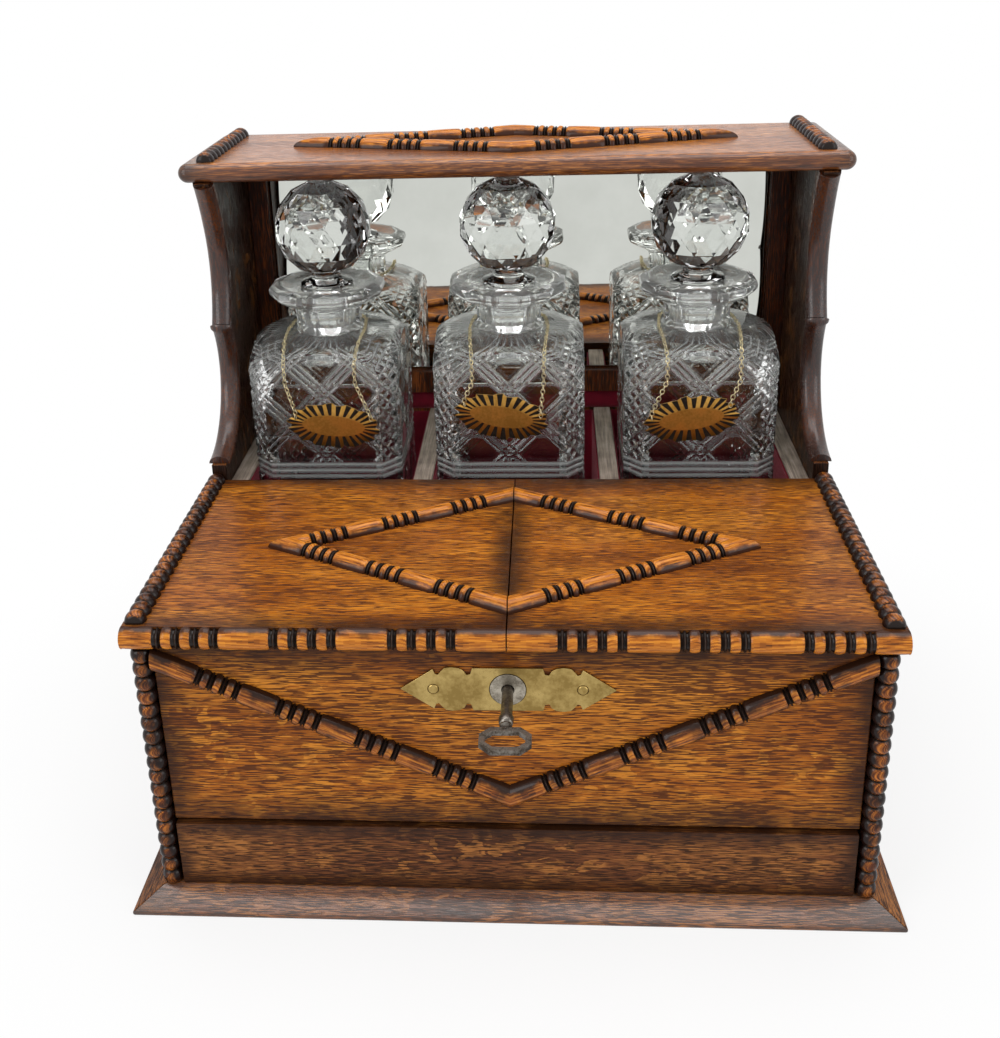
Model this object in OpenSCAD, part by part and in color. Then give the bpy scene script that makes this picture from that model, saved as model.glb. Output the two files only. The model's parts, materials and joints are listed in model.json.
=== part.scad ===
// Three-bottle tantalus in oak: a case with a mirror back and canopy, three cut
// decanters in velvet-lined bays, a front compartment under two side-hinged
// lids that meet at the middle, and a drawer in the base.
// The origin is the middle of the underside. +Z is up, -Y is the front.

/* [Case] */
// Width over the outer faces of the two sides
case_w = 345; // [335:1:365]
// Depth of the whole object, from the plinth's front edge to the back
case_d = 294; // [288:1:310]
// Thickness of the side boards
side_t = 8.5; // [7:0.5:10]
// Height of the lids' underside, where the lower case ends
case_h = 142.5; // [138:0.5:155]
// Height of the canopy's underside
canopy_z = 318; // [317:1:340]
// Thickness of the fixed front panel
front_t = 9; // [8:0.5:11]
// Thickness of the back board
back_t = 4; // [3:0.5:6]

/* [Plinth] */
// How far the plinth stands out beyond the case
plinth_over = 12; // [8:0.5:18]
// Height of the plinth where it meets the case
plinth_h = 8; // [7:0.5:12]
// Height of the plinth's thin outer edge
plinth_lip = 2; // [1:0.5:4]
// Width of the plinth's mouldings
plinth_w = 34; // [28:1:45]

/* [Corner columns] */
// Diameter of the turned corner columns
column_d = 10; // [8:0.5:11]
// Spacing of the beads along a column
column_pitch = 7.45; // [6:0.05:9]

/* [Lids] */
// Thickness of the lid boards
lid_t = 11; // [9:0.5:13]
// How far the lids stand out beyond the case sides
lid_over = 2.5; // [2:0.5:5]
// Depth of the lids, from the nosing's front to the rear edge
lid_d = 160.5; // [150:0.5:165]
// How far the nosing stands back from the plinth's front edge
lid_back = 9.5; // [6:0.5:12]
// Gap between the two lids
lid_seam = 0.6; // [0.4:0.1:1.5]

/* [Mouldings] */
// Width of the half-round diamond and chevron mouldings
strip_w = 10.6; // [8:0.2:11]
// Width of the beaded rails at the sides of the lids and canopy
rail_w = 10.2; // [8:0.2:12]
// Spacing of the beads along a rail
rail_pitch = 7.2; // [6:0.1:9]
// Depth of the turned grooves
groove = 1.1; // [0.6:0.1:1.6]
// Spacing of the four rings of a group on the diamonds
diamond_pitch = 5.6; // [4:0.1:6.4]
// Spacing of the four rings of a group on the chevron
chevron_pitch = 6.1; // [4.4:0.1:7]
// Spacing of the four rings of a group on the nosing
nosing_pitch = 8.75; // [6:0.05:9]
// Half length of the lid diamond, from its middle to a side tip
lid_diamond_x = 112; // [90:0.5:125]
// Half depth of the lid diamond
lid_diamond_y = 57.5; // [45:0.5:60]
// Half length of the canopy diamond
canopy_diamond_x = 106.5; // [90:0.5:120]
// Half depth of the canopy diamond
canopy_diamond_y = 28.5; // [20:0.5:30]
// Height of the chevron's ends below the top of the front panel
chevron_drop = 6.5; // [6:0.5:16]
// Height that the chevron falls from its ends to its point
chevron_fall = 73.5; // [60:0.5:78]

/* [Drawer] */
// Height of the drawer front
drawer_h = 35.5; // [30:0.5:36]
// Depth of the drawer, from its front to its back
drawer_d = 236; // [180:1:255]
// Thickness of the drawer's sides, back and runners
drawer_t = 6; // [5:0.5:8]
// How far the drawer front stands proud of the front panel
drawer_proud = 2.5; // [1:0.5:3]
// Running clearance of the drawer
drawer_gap = 0.6; // [0.4:0.1:1.2]

/* [Bays] */
// Height of the floor that the decanters stand on
bay_z = 77; // [72:1:84]
// Depth of the bays, from the low rail to the back
bay_d = 113; // [108:1:118]
// Height of the tops of the dividers
divider_z = 150; // [140:1:160]
// Thickness of the dividers between the bays
divider_t = 10.5; // [8:0.5:12]
// Thickness of the boards that line the case sides
liner_t = 10; // [8:0.5:11]
// Thickness of the velvet
velvet_t = 1; // [0.8:0.1:1.5]

/* [Mirror] */
// Width of the stiles that hold the mirror's sides
stile_w = 11.6; // [8:0.2:18]
// Height of the mirror's lower edge
mirror_z = 177; // [170:1:190]
// Thickness of the mirror
mirror_t = 3; // [2:0.5:4]

/* [Canopy] */
// Thickness of the canopy board
canopy_t = 10.5; // [9:0.5:13]
// How far the canopy stands out beyond the case sides
canopy_over = 9; // [5:0.5:12]
// Depth of the canopy
canopy_d = 98; // [92:1:105]

/* [Decanters] */
// Room on each side of a decanter in its bay
bay_play = 3.83; // [3.5:0.01:6]
// Height of a decanter's shoulder above its base
body_h = 139; // [130:1:142]
// Cut across each upright corner of the body
body_chamfer = 10; // [7:0.5:14]
// Thickness of the glass
glass_t = 6; // [4:0.5:8]
// Outer radius of the neck
neck_r = 20; // [18:0.5:23]
// Radius of the bore of the neck
bore_r = 11; // [9:0.5:13]
// Radius of the wide lip
lip_r = 34; // [30:0.5:37]
// Height of the lip's underside above the base
lip_z = 170; // [166:1:172]
// Radius of the ball stopper
ball_r = 27.8; // [24:0.2:28]
// How far each decanter stands off the middle of its bay
stand_off = [-3.4, -3.5, -1.5];

/* [Labels] */
// Width of a label over its rays
label_w = 53; // [44:1:58]
// Height of a label over its rays
label_h = 27; // [22:1:32]
// Number of rays round a label
label_rays = 36; // [24:2:48]
// Tilt of each label where it hangs
label_tilt = [-5, -10, 8];
// Height of each label's middle above the decanter's base
label_z = [102, 107, 105];

/* [Lock and key] */
// Length of the lock plate between its points
plate_w = 98; // [80:1:110]
// Height of the lock plate
plate_h = 22.5; // [18:0.5:26]
// Thickness of the lock plate
plate_t = 1; // [0.8:0.1:1.6]
// Height of the keyhole below the top of the front panel
key_drop = 21; // [19:0.5:24]
// Radius of the steel boss round the keyhole
boss_r = 8.4; // [7:0.2:10]
// Radius of the key's shank
shank_r = 2.6; // [2:0.1:3.2]
// Distance from the lock plate to the middle of the key's bow
bow_out = 37; // [30:1:45]
// Travel of the lock bolt
bolt_throw = 6; // [4.5:0.5:7]

/* [Hinges] */
// Length of a hinge
hinge_l = 34; // [24:1:44]
// Radius of a hinge knuckle
knuckle_r = 2.2; // [1.8:0.1:2.4]
// Thickness of a hinge leaf
leaf_t = 1.2; // [0.8:0.1:1.6]

/* [Hidden] */

$fn = 48;
// Overlap of a cutter beyond what it cuts
eps = 0.05;
// Clearance between pieces that move past each other
run = 0.4;

oak = "peru";
dark_oak = "sienna";
brass = "goldenrod";
steel = "gray";
glass = "lightcyan";

front_y = -case_d / 2;
back_y = case_d / 2;
side_in = case_w / 2 - side_t;
case_y = front_y + plinth_over;
column_y = case_y + column_d / 2 - 0.3;
column_x = case_w / 2 - column_d / 2 + 0.2;
panel_w = 2 * (column_x - column_d / 2) - 0.2;
panel_y = case_y + 1.5 + drawer_proud;
side_y = column_y + column_d / 2;
drawer_z = plinth_h + drawer_gap;
floor_z = drawer_z + drawer_h + drawer_gap;
floor_t = 5;
panel_z = floor_z + 1;
inner_back = back_y - back_t - mirror_t;
bay_y = inner_back - bay_d;
rail_t = 6;
lid_x = case_w / 2 + lid_over;
lid_y = front_y + lid_back;
lid_back_y = lid_y + lid_d;
lid_z = case_h + lid_t;
hinge_x = lid_x + 0.2;
mirror_w = 2 * (side_in - stile_w);
canopy_w = case_w + 2 * canopy_over;
bay_w = (2 * side_in - 2 * liner_t - 2 * divider_t) / 3;
body_w = bay_w - 2 * velvet_t - 2 * bay_play;
bay_x = [-bay_w - divider_t, 0, bay_w + divider_t];
stand_x = [for (i = [0:2]) bay_x[i] + stand_off[i]];
stand_y = bay_y + bay_d / 2 - 0.5;
stand_z = bay_z + velvet_t;
key_z = case_h - key_drop;
plate_y = panel_y - plate_t;

// Points of an arc from a to b that swells by sag to the right of the way from a to b
function arc_radius(a, b, sag) = (pow(norm(b - a) / 2, 2) + sag * sag) / (2 * sag);
function arc_side(a, b) = [b[1] - a[1], a[0] - b[0]] / norm(b - a);
function arc_centre(a, b, sag) = (a + b) / 2 + arc_side(a, b) * (sag - arc_radius(a, b, sag));
function arc_angle(c, p) = atan2(p[1] - c[1], p[0] - c[0]);
function arc_points(a, b, sag, n) = let (
        c = arc_centre(a, b, sag),
        r = arc_radius(a, b, sag),
        a0 = arc_angle(c, a),
        a1 = arc_angle(c, b)
    ) [for (i = [0:n]) c + r * [cos(a0 + (a1 - a0) * i / n), sin(a0 + (a1 - a0) * i / n)]];

// Radius of a row of turned beads at a place from 0 to 1 within one bead
function bead_radius(r, cut, t) = r - cut * (1 - pow(sin(180 * t), 0.7));
// Outline of a row of beads: radius first, place along the row second
function bead_profile(len, r, cut, pitch) = let (
        count = round(len / pitch),
        step = len / count,
        parts = 6
    ) concat([[0, 0]],
        [for (i = [0:count - 1]) for (j = [0:parts - 1])
            [bead_radius(r, cut, j / parts), (i + j / parts) * step]],
        [[bead_radius(r, cut, 0), len], [0, len]]);

// One turned groove of width w round the place s, with a fine ring inside it
function ring_points(s, r, w) = [
    [r, s - w / 2], [r - groove, s - w * 0.3], [r - groove / 3, s - w * 0.12],
    [r - groove / 3, s + w * 0.12], [r - groove, s + w * 0.3], [r, s + w / 2]];
// Outline of a half-round strip with groups of four grooves at the places in groups
function strip_profile(len, r, groups, pitch) = concat([[0, 0], [r, 0]],
    [for (s = groups) for (i = [0:3]) each ring_points(s + (i - 1.5) * pitch, r, pitch / 2)],
    [[r, len], [0, len]]);

// Half-round strip along +X that stands up from z = 0
module half_round(profile) {
    rotate([90, 0, 90]) rotate_extrude(angle = 180) polygon(profile);
}

module grooved_strip(len, r, groups, pitch) {
    half_round(strip_profile(len, r, groups, pitch));
}

module beaded_strip(len) {
    half_round(bead_profile(len, rail_w / 2, groove, rail_pitch));
}

module block(x0, x1, y0, y1, z0, z1) {
    translate([x0, y0, z0]) cube([x1 - x0, y1 - y0, z1 - z0]);
}

/* Plinth */
module plinth_profile() {
    polygon([[0, 0], [plinth_w, 0], [plinth_w, plinth_h], [plinth_over, plinth_h],
        [1.5, plinth_lip + 0.8], [0, plinth_lip]]);
}

// Mitre cutter: all that lies beyond the 45 degree line through the left front corner
module mitre_cut() {
    translate([-case_w / 2 - plinth_over, front_y, -1]) linear_extrude(plinth_h + 2)
        polygon([[0, 0], [plinth_w + 8, plinth_w + 8], [-9, plinth_w + 8], [-9, 0]]);
}

module plinth_front() {
    half = case_w / 2 + plinth_over;
    color(dark_oak) difference() {
        translate([-half, front_y, 0]) rotate([90, 0, 90]) linear_extrude(2 * half) plinth_profile();
        mitre_cut();
        mirror([1, 0, 0]) mitre_cut();
    }
}

module plinth_side() {
    half = case_w / 2 + plinth_over;
    color(dark_oak) intersection() {
        translate([-half, back_y, 0]) rotate([90, 0, 0]) linear_extrude(case_d) plinth_profile();
        translate([-half, front_y, -1]) linear_extrude(plinth_h + 2)
            polygon([[0, 0], [plinth_w, plinth_w], [plinth_w, case_d], [0, case_d]]);
    }
}

module plinth_left() {
    plinth_side();
}

module plinth_right() {
    mirror([1, 0, 0]) plinth_side();
}

module base_board() {
    half = case_w / 2 + plinth_over - plinth_w;
    color(oak) block(-half, half, front_y + plinth_w, back_y, 0, plinth_h);
}

/* Sides */
// Upper front outline of a side: foot at the lids, node in the middle, top under the canopy
edge_step = 9;
edge_node_back = 37.5;
edge_node_drop = 7;
edge_top_back = 25.5;
edge_foot = [lid_back_y + run, lid_z + edge_step];
edge_node = [edge_foot[0] + edge_node_back, (edge_foot[1] + canopy_z) / 2 - edge_node_drop];
edge_top = [edge_foot[0] + edge_top_back, canopy_z];
edge_low_sag = 22.5;
edge_high_sag = 14;

// Full circle of the hollow that swells by sag between a and b
module edge_circle(a, b, sag) {
    translate(arc_centre(a, b, sag)) circle(arc_radius(a, b, sag), $fn = 180);
}

module side_board() {
    color(dark_oak) difference() {
        translate([side_in, 0, 0]) rotate([90, 0, 90]) linear_extrude(side_t) difference() {
            polygon([[back_y, plinth_h], [side_y, plinth_h], [side_y, case_h - run],
                [edge_foot[0], case_h - run], edge_foot, edge_node, edge_top, [back_y, canopy_z]]);
            edge_circle(edge_foot, edge_node, edge_low_sag);
            edge_circle(edge_node, edge_top, edge_high_sag);
        }
        for (y = hinge_at) block(side_in - 1, case_w / 2 + 1, lid_y + y, lid_y + y + hinge_l,
            case_h - run - leaf_t, case_h + 1);
    }
}

module side_left() {
    mirror([1, 0, 0]) side_board();
}

module side_right() {
    side_board();
}

// Half-round bead of radius r in the hollow between a and b, from share f0 to f1 of its length
module edge_bead(a, b, sag, r, f0, f1) {
    c = arc_centre(a, b, sag);
    big = arc_radius(a, b, sag);
    a0 = arc_angle(c, a);
    turn = arc_angle(c, b) - a0;
    translate([side_in + side_t / 2, c[0], c[1]]) rotate([90, 0, 90]) rotate([0, 0, a0 + turn * f0])
        rotate_extrude(angle = turn * (f1 - f0))
            polygon([for (a = [90:10:270]) [big + r * cos(a), r * sin(a)]]);
}

// The node, like a bamboo's: it fills the wedge between the ends of the two beads
module edge_node_bead(r) {
    low = arc_angle(edge_node, arc_centre(edge_foot, edge_node, edge_low_sag));
    high = arc_angle(edge_node, arc_centre(edge_node, edge_top, edge_high_sag));
    translate([side_in + side_t / 2, edge_node[0], edge_node[1]]) rotate([90, 0, 90]) rotate([0, 0, high])
        rotate_extrude(angle = low - high + 360) polygon([for (a = [-90:10:90]) r * [cos(a), sin(a)]]);
}

module edge_moulding() {
    bead_r = side_t / 2 + 0.3;
    color(dark_oak) {
        edge_bead(edge_foot, edge_node, edge_low_sag, bead_r, 0.02, 0.996);
        edge_bead(edge_node, edge_top, edge_high_sag, bead_r, 0.004, 0.995);
        edge_node_bead(bead_r + 0.8);
    }
}

module edge_moulding_left() {
    mirror([1, 0, 0]) edge_moulding();
}

module edge_moulding_right() {
    edge_moulding();
}

module back_board() {
    color(dark_oak) block(-side_in, side_in, back_y - back_t, back_y, plinth_h, canopy_z);
}

/* Front */
module front_panel() {
    color(oak) difference() {
        block(-panel_w / 2, panel_w / 2, panel_y, panel_y + front_t, panel_z, case_h - run);
        translate([0, panel_y + front_t + 1, key_z]) rotate([90, 0, 0]) cylinder(h = front_t + 2, r = boss_r);
    }
}

chevron_end = [panel_w / 2 - 0.5, case_h - chevron_drop];
chevron_tilt = atan2(chevron_fall, chevron_end[0]);
chevron_len = norm([chevron_end[0], chevron_fall]);
// Places of the four ring groups, as shares of the way from the point to an end
chevron_groups = [for (f = [0.16, 0.38, 0.6, 0.824]) f * chevron_len];

module chevron_arm() {
    tail = strip_w;
    point = chevron_end[1] - chevron_fall;
    intersection() {
        translate([0, panel_y, point]) rotate([90, 0, 0]) rotate([0, 0, chevron_tilt])
            translate([-tail, 0, 0])
            grooved_strip(chevron_len + 2 * tail, strip_w / 2, [for (g = chevron_groups) g + tail],
                chevron_pitch);
        block(0, panel_w / 2, panel_y - strip_w, panel_y + 1, point - 2 * strip_w, case_h - run);
    }
}

module chevron() {
    color(dark_oak) {
        chevron_arm();
        mirror([1, 0, 0]) chevron_arm();
    }
}

module column() {
    len = case_h - run - plinth_h;
    color(oak) translate([column_x, column_y, plinth_h])
        rotate_extrude() polygon(bead_profile(len, column_d / 2, groove, column_pitch));
}

module column_left() {
    mirror([1, 0, 0]) column();
}

module column_right() {
    column();
}

/* Inside */
module compartment_floor() {
    color(oak) block(-side_in, side_in, panel_y + front_t, back_y - back_t, floor_z, floor_z + floor_t);
}

module bay_floor() {
    color(oak) block(-side_in, side_in, bay_y, back_y - back_t, bay_z - floor_t, bay_z);
}

// Low rail between the front compartment and the bays
module bay_rail() {
    color(oak) block(-side_in, side_in, bay_y - rail_t, bay_y, floor_z + floor_t, bay_z + 12);
}

module bay_dividers() {
    color("dimgray") for (s = [-1, 1])
        translate([s * (bay_w + divider_t) / 2 - divider_t / 2, bay_y, bay_z])
            cube([divider_t, bay_d, divider_z - bay_z]);
}

module bay_liners() {
    color("dimgray") for (s = [0, 1]) mirror([s, 0, 0])
        block(side_in - liner_t, side_in, bay_y, inner_back, bay_z, divider_z);
}

module velvet_bay(i) {
    x0 = bay_x[i] - bay_w / 2;
    top = divider_z - 2;
    color("maroon") difference() {
        translate([x0, bay_y, bay_z]) cube([bay_w, bay_d, top - bay_z]);
        translate([x0 + velvet_t, bay_y - 1, bay_z + velvet_t])
            cube([bay_w - 2 * velvet_t, bay_d + 1 - velvet_t, top - bay_z]);
    }
}

module velvet_bay_1() {
    velvet_bay(0);
}

module velvet_bay_2() {
    velvet_bay(1);
}

module velvet_bay_3() {
    velvet_bay(2);
}

/* Mirror */
module mirror_glass() {
    color("silver") block(-mirror_w / 2, mirror_w / 2, inner_back, inner_back + mirror_t,
        mirror_z, canopy_z);
}

// Two stiles and a lower rail that hold the mirror, with the panel below it
module mirror_frame() {
    proud = 6;
    rail_h = 14.5;
    inner = mirror_w / 2;
    color(dark_oak) {
        for (s = [0, 1]) mirror([s, 0, 0]) {
            block(inner, side_in, inner_back - proud, inner_back, divider_z, canopy_z);
            block(inner, side_in, inner_back, inner_back + mirror_t, bay_z, canopy_z);
        }
        block(-inner, inner, inner_back - proud + 1, inner_back, mirror_z - rail_h, mirror_z);
        block(-inner, inner, inner_back, inner_back + mirror_t, bay_z, mirror_z);
    }
}

/* Canopy */
module canopy() {
    r = canopy_t / 2;
    front = back_y - canopy_d;
    color(oak) {
        block(-canopy_w / 2 + r, canopy_w / 2 - r, front + r, back_y, canopy_z, canopy_z + canopy_t);
        translate([-canopy_w / 2 + r, front + r, canopy_z + r]) rotate([90, 0, 90])
            cylinder(h = canopy_w - 2 * r, r = r);
        for (s = [-1, 1]) translate([s * (canopy_w / 2 - r), front + r, canopy_z + r]) {
            rotate([-90, 0, 0]) cylinder(h = canopy_d - r, r = r);
            sphere(r);
        }
    }
}

// One arm of a diamond in the quarter +X -Y, from the front tip to the side tip
module diamond_arm(dx, dy, gap, places) {
    len = norm([dx, dy]);
    tail = strip_w;
    groups = [for (f = places) tail + f * len];
    intersection() {
        translate([0, -dy, 0]) rotate([0, 0, atan2(dy, dx)]) translate([-tail, 0, 0])
            grooved_strip(len + 4 * tail, strip_w / 2, groups, diamond_pitch);
        block(gap, dx + 4 * strip_w, -dy - 2 * strip_w, 0, -1, strip_w);
    }
}

module diamond_half(dx, dy, gap, places) {
    diamond_arm(dx, dy, gap, places);
    mirror([0, 1, 0]) diamond_arm(dx, dy, gap, places);
}

module canopy_diamond() {
    color(dark_oak) translate([0, back_y - canopy_d / 2 + 2, canopy_z + canopy_t])
        for (s = [0, 1]) mirror([s, 0, 0])
            diamond_half(canopy_diamond_x, canopy_diamond_y, 0, [0.205, 0.56, 0.89]);
}

module canopy_bobbins() {
    len = canopy_d - 8;
    color(dark_oak) for (s = [-1, 1])
        translate([s * (canopy_w / 2 - 9 - rail_w / 2), back_y - len - 1, canopy_z + canopy_t])
            rotate([0, 0, 90]) beaded_strip(len);
}

/* Drawer */
box_w = panel_w - 2 * drawer_gap;
drawer_y = panel_y - drawer_proud;
board_t = 9;
bottom_t = 3;
box_top = drawer_z + drawer_h - 3;

module drawer_runners() {
    color(oak) for (s = [0, 1]) mirror([s, 0, 0])
        block(box_w / 2 - drawer_t + drawer_gap, side_in, drawer_y + board_t + 4, back_y - back_t,
            plinth_h, plinth_h + drawer_gap);
}

module drawer_front() {
    color(dark_oak) block(-box_w / 2, box_w / 2, drawer_y, drawer_y + board_t,
        drawer_z, drawer_z + drawer_h);
}

module drawer_box() {
    y0 = drawer_y + board_t;
    y1 = drawer_y + drawer_d;
    color(oak) difference() {
        block(-box_w / 2, box_w / 2, y0, y1, drawer_z, box_top);
        block(-box_w / 2 + drawer_t, box_w / 2 - drawer_t, y0 - 1, y1 - drawer_t, drawer_z - 1, box_top + 1);
        block(-box_w / 2 + drawer_t / 2, box_w / 2 - drawer_t / 2, y0 - 1, y1 - drawer_t / 2,
            drawer_z + 1, drawer_z + 1 + bottom_t);
    }
}

module drawer_bottom() {
    y0 = drawer_y + board_t;
    y1 = drawer_y + drawer_d - drawer_t / 2;
    color(oak) block(-box_w / 2 + drawer_t / 2, box_w / 2 - drawer_t / 2, y0, y1,
        drawer_z + 1, drawer_z + 1 + bottom_t);
}

/* Lids */
nosing_r = lid_t / 2;
// Places of the ring groups, as shares of the way from the seam to the outer end
nosing_groups = [for (f = [0.2144, 0.5202, 0.8259]) f * (lid_x - lid_seam / 2)];

// Places of the hinges along the lid, as distances behind its front edge
hinge_at = [28, lid_d - 38];

module hinge_relief() {
    for (y = hinge_at) translate([hinge_x, lid_y + y - run, case_h]) rotate([-90, 0, 0])
        cylinder(h = hinge_l + 2 * run, r = knuckle_r + run);
}

module lid() {
    color(oak) difference() {
        block(lid_seam / 2, lid_x, lid_y + nosing_r, lid_back_y, case_h, lid_z);
        hinge_relief();
        for (y = hinge_at)
            block(side_in - 1, lid_x + 1, lid_y + y, lid_y + y + hinge_l, case_h - 1, case_h + leaf_t);
        block(-1, catch_w, lock_mid - eye_w / 2, lock_mid + eye_w / 2, case_h - 1, case_h + leaf_t);
    }
}

module lid_left() {
    mirror([1, 0, 0]) lid();
}

module lid_right() {
    lid();
}

module nosing() {
    len = lid_x - lid_seam / 2;
    color(oak) translate([lid_seam / 2, lid_y + nosing_r, case_h + nosing_r]) rotate([90, 0, 0])
        grooved_strip(len, nosing_r, nosing_groups, nosing_pitch);
}

module nosing_left() {
    mirror([1, 0, 0]) nosing();
}

module nosing_right() {
    nosing();
}

module lid_diamond() {
    color(dark_oak) translate([0, lid_y + lid_d / 2, lid_z])
        diamond_half(lid_diamond_x, lid_diamond_y, lid_seam / 2, [0.22, 0.53, 0.84]);
}

module lid_diamond_left() {
    mirror([1, 0, 0]) lid_diamond();
}

module lid_diamond_right() {
    lid_diamond();
}

module lid_bobbins() {
    y0 = lid_y + nosing_r + 1.5;
    color(dark_oak) translate([lid_x - rail_w / 2 - 0.4, y0, lid_z]) rotate([0, 0, 90])
        beaded_strip(lid_back_y - y0);
}

module lid_bobbins_left() {
    mirror([1, 0, 0]) lid_bobbins();
}

module lid_bobbins_right() {
    lid_bobbins();
}

/* Hinges */
pin_r = 0.9;
// Play between the knuckles, and round the pin
hinge_play = 0.15;
leaf_x = hinge_x - knuckle_r - run;

// One knuckle out of three along a hinge, with the tab that joins it to a leaf at height z
module knuckle(y, part, z) {
    third = hinge_l / 3;
    y0 = lid_y + y + part * third + (part > 0 ? hinge_play : 0);
    len = third - hinge_play * (part == 1 ? 2 : 1);
    translate([hinge_x, y0, case_h]) rotate([-90, 0, 0]) cylinder(h = len, r = knuckle_r);
    block(leaf_x - 1, hinge_x - knuckle_r / 2, y0, y0 + len, z, z + leaf_t);
}

module fixed_leaf(y) {
    z = case_h - run - leaf_t;
    block(side_in, leaf_x, lid_y + y, lid_y + y + hinge_l, z, z + leaf_t);
    knuckle(y, 0, z);
    knuckle(y, 2, z);
    translate([hinge_x, lid_y + y, case_h]) rotate([-90, 0, 0]) cylinder(h = hinge_l, r = pin_r);
}

module hinges_fixed() {
    color(brass) for (s = [0, 1]) mirror([s, 0, 0]) for (y = hinge_at) fixed_leaf(y);
}

module moving_leaf(y) {
    difference() {
        union() {
            block(side_in, leaf_x, lid_y + y + eps, lid_y + y + hinge_l - eps, case_h, case_h + leaf_t);
            knuckle(y, 1, case_h);
        }
        translate([hinge_x, lid_y + y - 1, case_h]) rotate([-90, 0, 0])
            cylinder(h = hinge_l + 2, r = pin_r + hinge_play);
    }
}

module hinges_right() {
    color(brass) for (y = hinge_at) moving_leaf(y);
}

module hinges_left() {
    mirror([1, 0, 0]) hinges_right();
}

/* Lock */
// Outline of a quarter of the lock plate, as shares of its length and height
plate_outline = [[0, 0.5], [0.163, 0.5], [0.172, 0.36], [0.19, 0.34], [0.203, 0.44], [0.225, 0.5],
    [0.258, 0.52], [0.29, 0.5], [0.308, 0.42], [0.322, 0.34], [0.335, 0.36], [0.345, 0.47], [0.5, 0]];
pin_x = 0.346;
plate_pin_r = 2.45;

// Outline of the whole plate, from its quarter outline and the quarter's signs
function plate_quarter(sx, sz) = [for (p = plate_outline) [sx * p[0] * plate_w, sz * p[1] * plate_h]];
function turned_back(list) = [for (i = [len(list) - 1:-1:0]) list[i]];

module lock_plate() {
    color(brass) translate([0, plate_y + plate_t, key_z]) rotate([90, 0, 0]) difference() {
        linear_extrude(plate_t) polygon(concat(plate_quarter(1, 1), turned_back(plate_quarter(1, -1)),
            plate_quarter(-1, -1), turned_back(plate_quarter(-1, 1))));
        translate([0, 0, -1]) cylinder(h = plate_t + 2, r = boss_r);
        for (s = [-1, 1]) translate([s * pin_x * plate_w, 0, -1])
            cylinder(h = plate_t + 2, r = plate_pin_r + 0.15);
    }
}

module lock_pins() {
    color(brass) for (s = [-1, 1]) translate([s * pin_x * plate_w, panel_y, key_z]) rotate([90, 0, 0]) {
        cylinder(h = plate_t, r = plate_pin_r);
        translate([0, 0, plate_t]) cylinder(h = 0.5, r1 = plate_pin_r, r2 = plate_pin_r - 0.5);
    }
}

lock_w = 52;
lock_t = 11;
lock_mid = panel_y + front_t + lock_t / 2;
lock_below = 13;
lock_low = key_z - lock_below;
room_t = 6.4;
bit_r = 6;
// The two eyes under the lids, and the bolt's two fingers that pass through them
eye_x = 6;
eye_t = 1.6;
eye_w = 5;
catch_w = 20;
eye_h = 9.5;
eye_low = case_h - eye_h;
finger_z = eye_low + 3.5;
bolt_z = key_z + bit_r + run + 1;
bolt_bar = 3;
tip_x = -eye_t / 2 - 0.6;
post_x = tip_x - bolt_throw + 0.3;
post_w = 2.5;

module key_slot(h) {
    cylinder(h = h, r = shank_r + 0.3);
    translate([-1.3, -bit_r - 0.6, 0]) cube([2.6, bit_r + 0.6, h]);
}

module lock_case() {
    y0 = panel_y + front_t;
    top = case_h - run;
    reach = y0 - plate_y + 0.3;
    color(steel) difference() {
        union() {
            block(-lock_w / 2, lock_w / 2, y0, y0 + lock_t, lock_low, top);
            translate([0, y0 + 1, key_z]) rotate([90, 0, 0]) cylinder(h = reach + 1, r = boss_r - 0.2);
        }
        // Room for the bolt, for the turning bit, and slots for the eyes
        block(post_x - eye_x - post_w - 3, eye_x + bolt_throw + 3, lock_mid - room_t / 2,
            lock_mid + room_t / 2, bolt_z - run, top - 1.5);
        translate([0, lock_mid + room_t / 2, key_z]) rotate([90, 0, 0])
            cylinder(h = room_t, r = bit_r + run);
        for (s = [-1, 1]) block(s * eye_x - eye_t / 2 - 1.2, s * eye_x + eye_t / 2 + 1.2,
            lock_mid - room_t / 2, lock_mid + room_t / 2, top - 2, top + 1);
        translate([0, lock_mid, key_z]) rotate([90, 0, 0]) key_slot(lock_t + reach);
    }
}

module lock_bolt() {
    y0 = lock_mid - 1.1;
    y1 = lock_mid + 1.1;
    color(steel) {
        block(post_x - eye_x - post_w, eye_x + tip_x, y0, y1, bolt_z, bolt_z + bolt_bar);
        for (s = [-1, 1]) {
            x = s * eye_x + post_x;
            block(x - post_w, x, y0, y1, bolt_z + bolt_bar - 1, finger_z + 1.2);
            block(x - 1, s * eye_x + tip_x, y0, y1, finger_z - 1.2, finger_z + 1.2);
        }
    }
}

module catch() {
    color(steel) difference() {
        union() {
            block(eye_x - eye_t / 2, eye_x + eye_t / 2, lock_mid - eye_w / 2, lock_mid + eye_w / 2,
                eye_low, case_h);
            block(1, catch_w, lock_mid - eye_w / 2, lock_mid + eye_w / 2, case_h, case_h + leaf_t);
        }
        block(eye_x - 2, eye_x + 2, lock_mid - 1.6, lock_mid + 1.6, finger_z - 1.9, finger_z + 1.9);
    }
}

module catch_left() {
    mirror([1, 0, 0]) catch();
}

module catch_right() {
    catch();
}

/* Key */
bow_w = 22.5;
bow_d = 16;
bow_bar = 2.6;

module bow_outline(w, d) {
    c = d * 0.3;
    polygon([[-w / 2 + c, -d / 2], [w / 2 - c, -d / 2], [w / 2, -d / 2 + c], [w / 2, d / 2 - c],
        [w / 2 - c, d / 2], [-w / 2 + c, d / 2], [-w / 2, d / 2 - c], [-w / 2, -d / 2 + c]]);
}

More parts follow.
